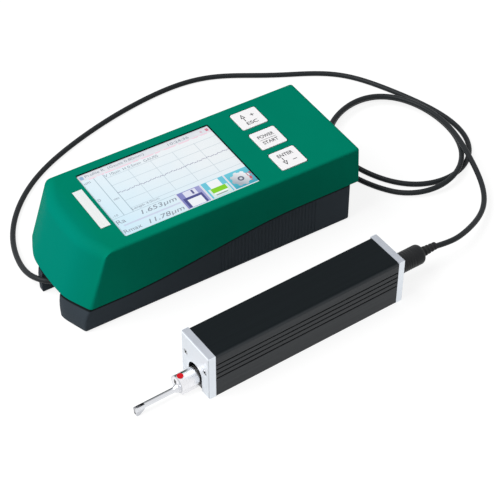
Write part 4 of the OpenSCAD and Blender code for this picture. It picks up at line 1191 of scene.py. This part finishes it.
# %% Painted shade and reflection on the pickup, the tube and the screws
BARREL_HIGH, BARREL_FACE, KEY_FACE = 6.8, -10.0, -10.3
RIM_FADE, RIM_SHADE_GREY = (3.6, 4.1), (160, 163, 170)
KEY_SLOT = (0.1, 2.1, 6.2, 8.9)
REFLECTION_SPAN, REFLECTION_FADE, REFLECTION_HIGH, REFLECTION_GREY = (-28.2, -12.4), (-0.6, -0.1), 4.6, (104, 106, 112)
SKID_HIGH, SKID_SHADE_GREY = 2.7, (170, 171, 178)
TIP_END, TIP_SIDE, TIP_SHADE_GREY = -32.55, -0.6, (84, 82, 86)
EYE, EYE_HIGH = (-32.5, -28.4, -0.75, 0.95), 4.7
SLIT_END, SLIT_HALF, SLIT_HIGH = -32.1, 0.42, 2.1
RECESS, RECESS_HALF = (0.1, 0.85), 1.2


def paint_shade_dark(paint, mask):
    """Blends the finish to near black, without shine, where the mask is 1: painted shade in a recess."""
    paint.feed("Base Color", paint.mix(mask, paint.colour, tint(*RECESS_SHADE)))
    paint.feed("Metallic", 1 - mask)


def paint_shade_and_reflection(paint, mask, colour):
    """Blends a colour into the finish where the mask is more than 0, for painted shade and for a painted
    reflection.
    """
    paint.colour = paint.mix(mask, paint.colour, tint(*colour))


u, v, z = pickup_paint.drive()
off_axis = (v * v + (z - BARREL_HIGH) * (z - BARREL_HIGH)).root()
# Painted shade: a greyer rim round the barrel's face, and the key slot painted near black.
paint_shade_and_reflection(pickup_paint, (u < BARREL_FACE) * off_axis.ramp(*RIM_FADE) * 0.5, RIM_SHADE_GREY)
paint_shade_dark(pickup_paint, (u < KEY_FACE) * in_box(v, z, KEY_SLOT))
u, v, z = tube_paint.drive()
# Painted reflection: a darker strip along the tube's top, standing in for dark surroundings reflected in it.
paint_shade_and_reflection(tube_paint, u.between(*REFLECTION_SPAN) * v.ramp(*REFLECTION_FADE) * (z > REFLECTION_HIGH) * 0.7, REFLECTION_GREY)
# Painted shade: the low skid is painted greyer, and one side of the tip's end darker.
paint_shade_and_reflection(tube_paint, (z < SKID_HIGH) * 0.5, SKID_SHADE_GREY)
paint_shade_and_reflection(tube_paint, (u < TIP_END) * (v > TIP_SIDE) * 0.6, TIP_SHADE_GREY)
# Painted shade: the slit in the skid and the eye at the tip are painted near black.
slit = (u < SLIT_END) * (abs(v) < SLIT_HALF) * (z < SLIT_HIGH)
paint_shade_dark(tube_paint, slit.either(in_box(u, v, EYE) * (z > EYE_HIGH)))
u, v, z = screw_paint.drive()
# Painted shade: the cross recess of each plate screw is painted near black.
beside = (abs(abs(v) - SCREW_ACROSS) < RECESS_HALF) * (abs(z - SCREW_HIGH) < RECESS_HALF)
paint_shade_dark(screw_paint, u.lesser(DRIVE_LONG - u).between(*RECESS) * beside)
print("key slot of the pickup", round(KEY_SLOT[1] - KEY_SLOT[0], 2), "mm wide")

# %% [markdown]
# The drive's body is an extruded black profile. Drawing it through the die leaves faint lines
# along its length, and black anodising leaves it satin. Its top is painted darker and its sides
# painted lighter, with a coat, so painted shade and sheen change with the height, and the grooves
# are painted near black, painted shade.

# %% Black anodised extrusion
TOP_FADE, GROOVE_TOP, GROOVE_FLOOR = (26.2, 26.8), 26.0, 11.0


def anodised():
    """Satin black: die lines along the length, a painted lighter side, a painted darker top, and painted
    shade in the grooves.
    """
    paint = Paint("black_anodised", Specular_IOR_Level=0.05, Coat_Roughness=0.4)
    _, v, z = paint.drive()
    lines = paint.noise(1400, 4, (0.012, 1, 1), DRIVE_TURN)
    cloud = paint.noise(70, 3)
    # Painted shade and sheen: the top is painted darker than the sides, which are painted lighter and given a
    # coat.
    painted_dark_top = z.ramp(*TOP_FADE)
    # Painted shade: the grooves are painted near black.
    groove_shade = (abs(v) < GROOVE_FLOOR) * (z < GROOVE_TOP)
    side = paint.mix(lines * 0.6 + cloud * 0.4, tint(38, 42, 46), tint(58, 63, 67))
    face = paint.mix(painted_dark_top, side, paint.mix(lines, tint(18, 23, 26), tint(25, 31, 34)))
    paint.feed("Base Color", paint.mix(groove_shade, face, tint(12, 13, 14)))
    paint.feed("Coat Weight", (1 - painted_dark_top) * (0.3 + 0.2 * lines))
    paint.feed("Roughness", 0.34 + 0.14 * lines)
    paint.bump(lines, 0.18, 0.00003)
    return paint


anodised_paint = anodised()
print("top of the drive from", TOP_FADE[0], "mm")

# %% [markdown]
# Boards inside are green laminate with a weave that just shows through the lacquer. A picture of
# cloth would need a texture file; two crossed waves are enough at this size.

# %% Boards
WEAVE = 5200


def laminate():
    """Lacquered glass cloth: two crossed sine waves make the weave."""
    paint = Paint("board_laminate", Coat_Weight=0.3)
    x, y, _ = paint.axes(paint.place())
    weave = (x * WEAVE).sine() * (y * WEAVE).sine() * 0.5 + 0.5
    paint.feed("Base Color", paint.mix(weave, tint(22, 84, 46), tint(34, 104, 58)))
    paint.feed("Roughness", 0.4 + 0.1 * weave)
    return paint


board_paint = laminate()
print("weave", round(2 * math.pi / WEAVE / MM, 2), "mm from thread to thread")

# %% [markdown]
# ## The screen
# A colour panel behind matt glass, lit from behind and washed out by the room. It shows a grid
# with a wavering profile line, a bright title strip, and three buttons: a disk, a sheet of paper
# and a gear. All of it is drawn with comparisons on the position over the glass, in millimetres
# from the near left corner, and goes to the base colour and, dimmed, to emission.

# %% Screen picture
SCREEN_WIDE, SCREEN_HIGH, REAR_SHADE_FROM = 76, 51, 75.7
ICON_LOW, ICON_TOP = 0.6, 13.2
TITLE_FROM, TITLE_RULE, PLOT_FROM = 46.3, (4.5, 76, 45.7, 46.5), 11.8
TITLE_MARKS = [
    ((69.9, 71.2, 47.7, 49.2), (222, 190, 204)), ((73.2, 74.9, 47.4, 49.5), (210, 128, 148)),
    ((0.7, 2.7, 47.3, 49.9), (148, 178, 208))]
GRID_X, GRID_Y, GRID_SPAN = (24.6, 37.4, 50.1, 62.8), (42.2, 35.8, 22.7, 16.4), (16.2, 42.6)
SCALE_X, SCALE_SPAN, SCALE_LOW, SCALE_END = (6.75, 11.9), (13.6, 45.6), 13.5, 35.4
PROFILE_HIGH, PROFILE_HALF = 29.3, 0.23
PROFILE_WAVES = [(2.1, 0.0, 0.22), (4.7, 1.3, 0.2), (0.63, 0.0, 0.18)]
RESULT_RULE = (3, 34.5, 6.4, 7.5)
DISK = [
    ((36.6, 47.2, 0.9, 8.2), (78, 80, 138)), ((38.6, 45.6, 8.4, 12.7), (222, 224, 240)),
    ((42.9, 44.0, 9.2, 12.2), (86, 88, 140)), ((38.2, 45.9, 0.9, 6.6), (236, 240, 246))]
SHEET = [
    ((49.4, 61.9, ICON_LOW, ICON_TOP), (108, 196, 216)), ((50.4, 61.2, 0.8, 7.4), (214, 232, 228)),
    ((52.4, 58.9, 6.6, 12.9), (240, 244, 248)), ((51.6, 60.0, 3.9, 7.3), (132, 206, 44)),
    ((51.9, 59.6, 2.9, 3.8), (244, 248, 246)), ((52.3, 58.8, 1.9, 2.5), (138, 152, 150))]
DISK_FROM, DISK_TO, GEAR_FROM, GEAR_TO = 35.6, 48.4, 62.8, 75.8
GEAR_X, GEAR_Y, GEAR_ROUND, GEAR_TOOTH, GEAR_TEETH = 69.0, 6.5, 4.6, 0.8, 8
GEAR_DISCS = [(1.7, (96, 104, 122)), (0.8, (206, 212, 220))]
GEAR_SPECKS = (73.0, 75.6, 2.5, 9.0)
ICON_EDGES = [(35.3, 0.2), (48.9, 0.3), (62.35, 0.3)]


def screen():
    """Picture = pale ground, then each mark mixed in by its own mask, in painter's order."""
    paint = Paint("screen_picture", Specular_IOR_Level=0.1, Emission_Strength=0.06)
    back, across, _ = paint.display()
    x, y = (back - SCREEN_X) / SHRINK_X, (across - SCREEN_Y) / SHRINK_Y
    cloud = paint.noise(55, 3)
    speck = paint.noise(420, 3)
    # Painted reflection: the ground runs from pale blue to near white along a diagonal, a painted glare of
    # the room's light on the glass.
    painted_glare = (x / SCREEN_WIDE * 0.6 + y / SCREEN_HIGH * 0.4 + (cloud - 0.5) * 0.35).ramp(0.05, 0.75)
    picture = paint.mix(painted_glare, tint(206, 232, 245), tint(236, 241, 244))

    def lay(mask, colour):
        nonlocal picture
        picture = paint.mix(mask, picture, colour)

    def lines(value, places, half):
        """1 on thin lines at the places, 0 elsewhere."""
        return sum(abs(value - at) < half for at in places).ramp(0, 1)

    def marks(rows):
        for box, colour in rows:
            lay(in_box(x, y, box), tint(*colour))

    lay(y > TITLE_FROM, paint.mix(speck, tint(214, 222, 230), tint(236, 234, 238)))
    lay(in_box(x, y, TITLE_RULE) * (speck > 0.42), tint(243, 208, 222))
    marks(TITLE_MARKS)
    grid = (lines(x, GRID_X, 0.16) * y.between(*GRID_SPAN)).either(lines(y, GRID_Y, 0.16) * (x > PLOT_FROM))
    lay(grid * (0.3 + 0.4 * speck), tint(158, 176, 188))
    low_scale = lines(y, [SCALE_LOW], 0.14) * (x < SCALE_END)
    scales = (lines(x, SCALE_X, 0.22) * y.between(*SCALE_SPAN)).either(low_scale)
    lay(scales * 0.65, tint(140, 162, 174))
    wander = sum((x * rate + start).sine() * height for rate, start, height in PROFILE_WAVES)
    profile = (abs(y - PROFILE_HIGH - wander) < PROFILE_HALF) * (x > PLOT_FROM)
    lay(profile * (0.6 + 0.4 * speck), tint(132, 130, 158))
    lay(in_box(x, y, RESULT_RULE) * (0.4 + 0.5 * speck), tint(196, 196, 222))

    fade = (x - DISK_FROM) / (DISK_TO - DISK_FROM)
    disk_blue = paint.mix(fade, tint(128, 130, 190), tint(160, 162, 208))
    lay(in_box(x, y, (DISK_FROM, DISK_TO, ICON_LOW, ICON_TOP)), disk_blue)
    marks(DISK)
    marks(SHEET)

    fade = (y - ICON_LOW) / (ICON_TOP - ICON_LOW)
    gear_blue = paint.mix(fade, tint(64, 166, 186), tint(112, 202, 220))
    lay(in_box(x, y, (GEAR_FROM, GEAR_TO, ICON_LOW, ICON_TOP)), gear_blue)
    gear_x, gear_y = x - GEAR_X, y - GEAR_Y
    reach = (gear_x * gear_x + gear_y * gear_y).root()
    teeth = GEAR_ROUND + ((gear_y.angle(gear_x) * GEAR_TEETH).sine() * 4).ramp(-1, 1) * GEAR_TOOTH
    shine = ((gear_x + gear_y) / 9).ramp(-0.6, 0.7)
    lay((reach < teeth) * (y < ICON_TOP - 0.1), paint.mix(shine, tint(168, 176, 186), tint(240, 242, 246)))
    for radius, colour in GEAR_DISCS:
        lay(reach < radius, tint(*colour))
    lay(in_box(x, y, GEAR_SPECKS) * (speck > 0.5), tint(196, 96, 110))
    edges = sum(abs(x - at) < half for at, half in ICON_EDGES)
    lay((edges * (y < ICON_TOP + 0.1)).ramp(0, 1), tint(222, 216, 228))
    # Painted shade: the glass at the window's rear edge is painted dark green, standing in for the shade
    # under the rear wall.
    lay(x > REAR_SHADE_FROM, tint(20, 42, 42))
    paint.feed("Base Color", picture)
    paint.feed("Emission Color", picture)
    paint.feed("Roughness", 0.3 + 0.08 * speck)
    return paint


screen_paint = screen()
print("screen picture of", len(screen_paint.tree.nodes), "nodes")

# %% [markdown]
# ## Dressing the parts
# Each CAD node that stays visible takes the finish of its material slot, and each new piece the
# finish of what it stands for.

# %% Put the finishes on
finish_of_slot = {
    "green_shell": green_paint, "black_shell": black_paint, "screen_glass": screen_paint,
    "display_panel": panel_paint, "white_keys": key_paint, "switch_black": switch_paint,
    "circuit_board": board_paint, "battery_wrap": battery_paint, "badge_metal": badge_paint,
    "socket_metal": socket_paint, "foot_rubber": rubber_paint, "screw_steel": screw_paint,
    "screw_dark": screw_paint, "black_anodised": anodised_paint, "plate_silver": plate_paint,
    "bush_bronze": bronze_paint, "inner_aluminium": inner_paint, "rod_steel": rod_paint,
    "gear_brass": brass_paint, "motor_steel": motor_paint, "pickup_silver": pickup_paint,
    "red_mark": red_paint, "tube_steel": tube_paint, "coil_copper": copper_paint,
    "stylus_steel": stylus_paint, "plug_black": plug_paint, "boot_black": boot_paint,
    "cable_black": cable_paint,
}
finish_of_piece = {
    cable: cable_paint, drive_plug: plug_paint, drive_boot: boot_paint, green_shell: green_paint,
    base_shell: black_paint, screen_figures: figure_paint, plate_screws: screw_paint,
    **{cap: key_paint for cap in key_caps}, **{legend: ink_paint for legend in legend_pieces},
}
for piece, paint in finish_of_piece.items():
    piece.data.materials.clear()
    piece.data.materials.append(paint.material)
for row in frame["record"]["subparts"]:
    frame["nodes"][row["node"]].material_slots[0].material = finish_of_slot[row["material_slot"]].material
print("finishes on", len(frame["nodes"]), "nodes and", len(finish_of_piece), "new pieces")
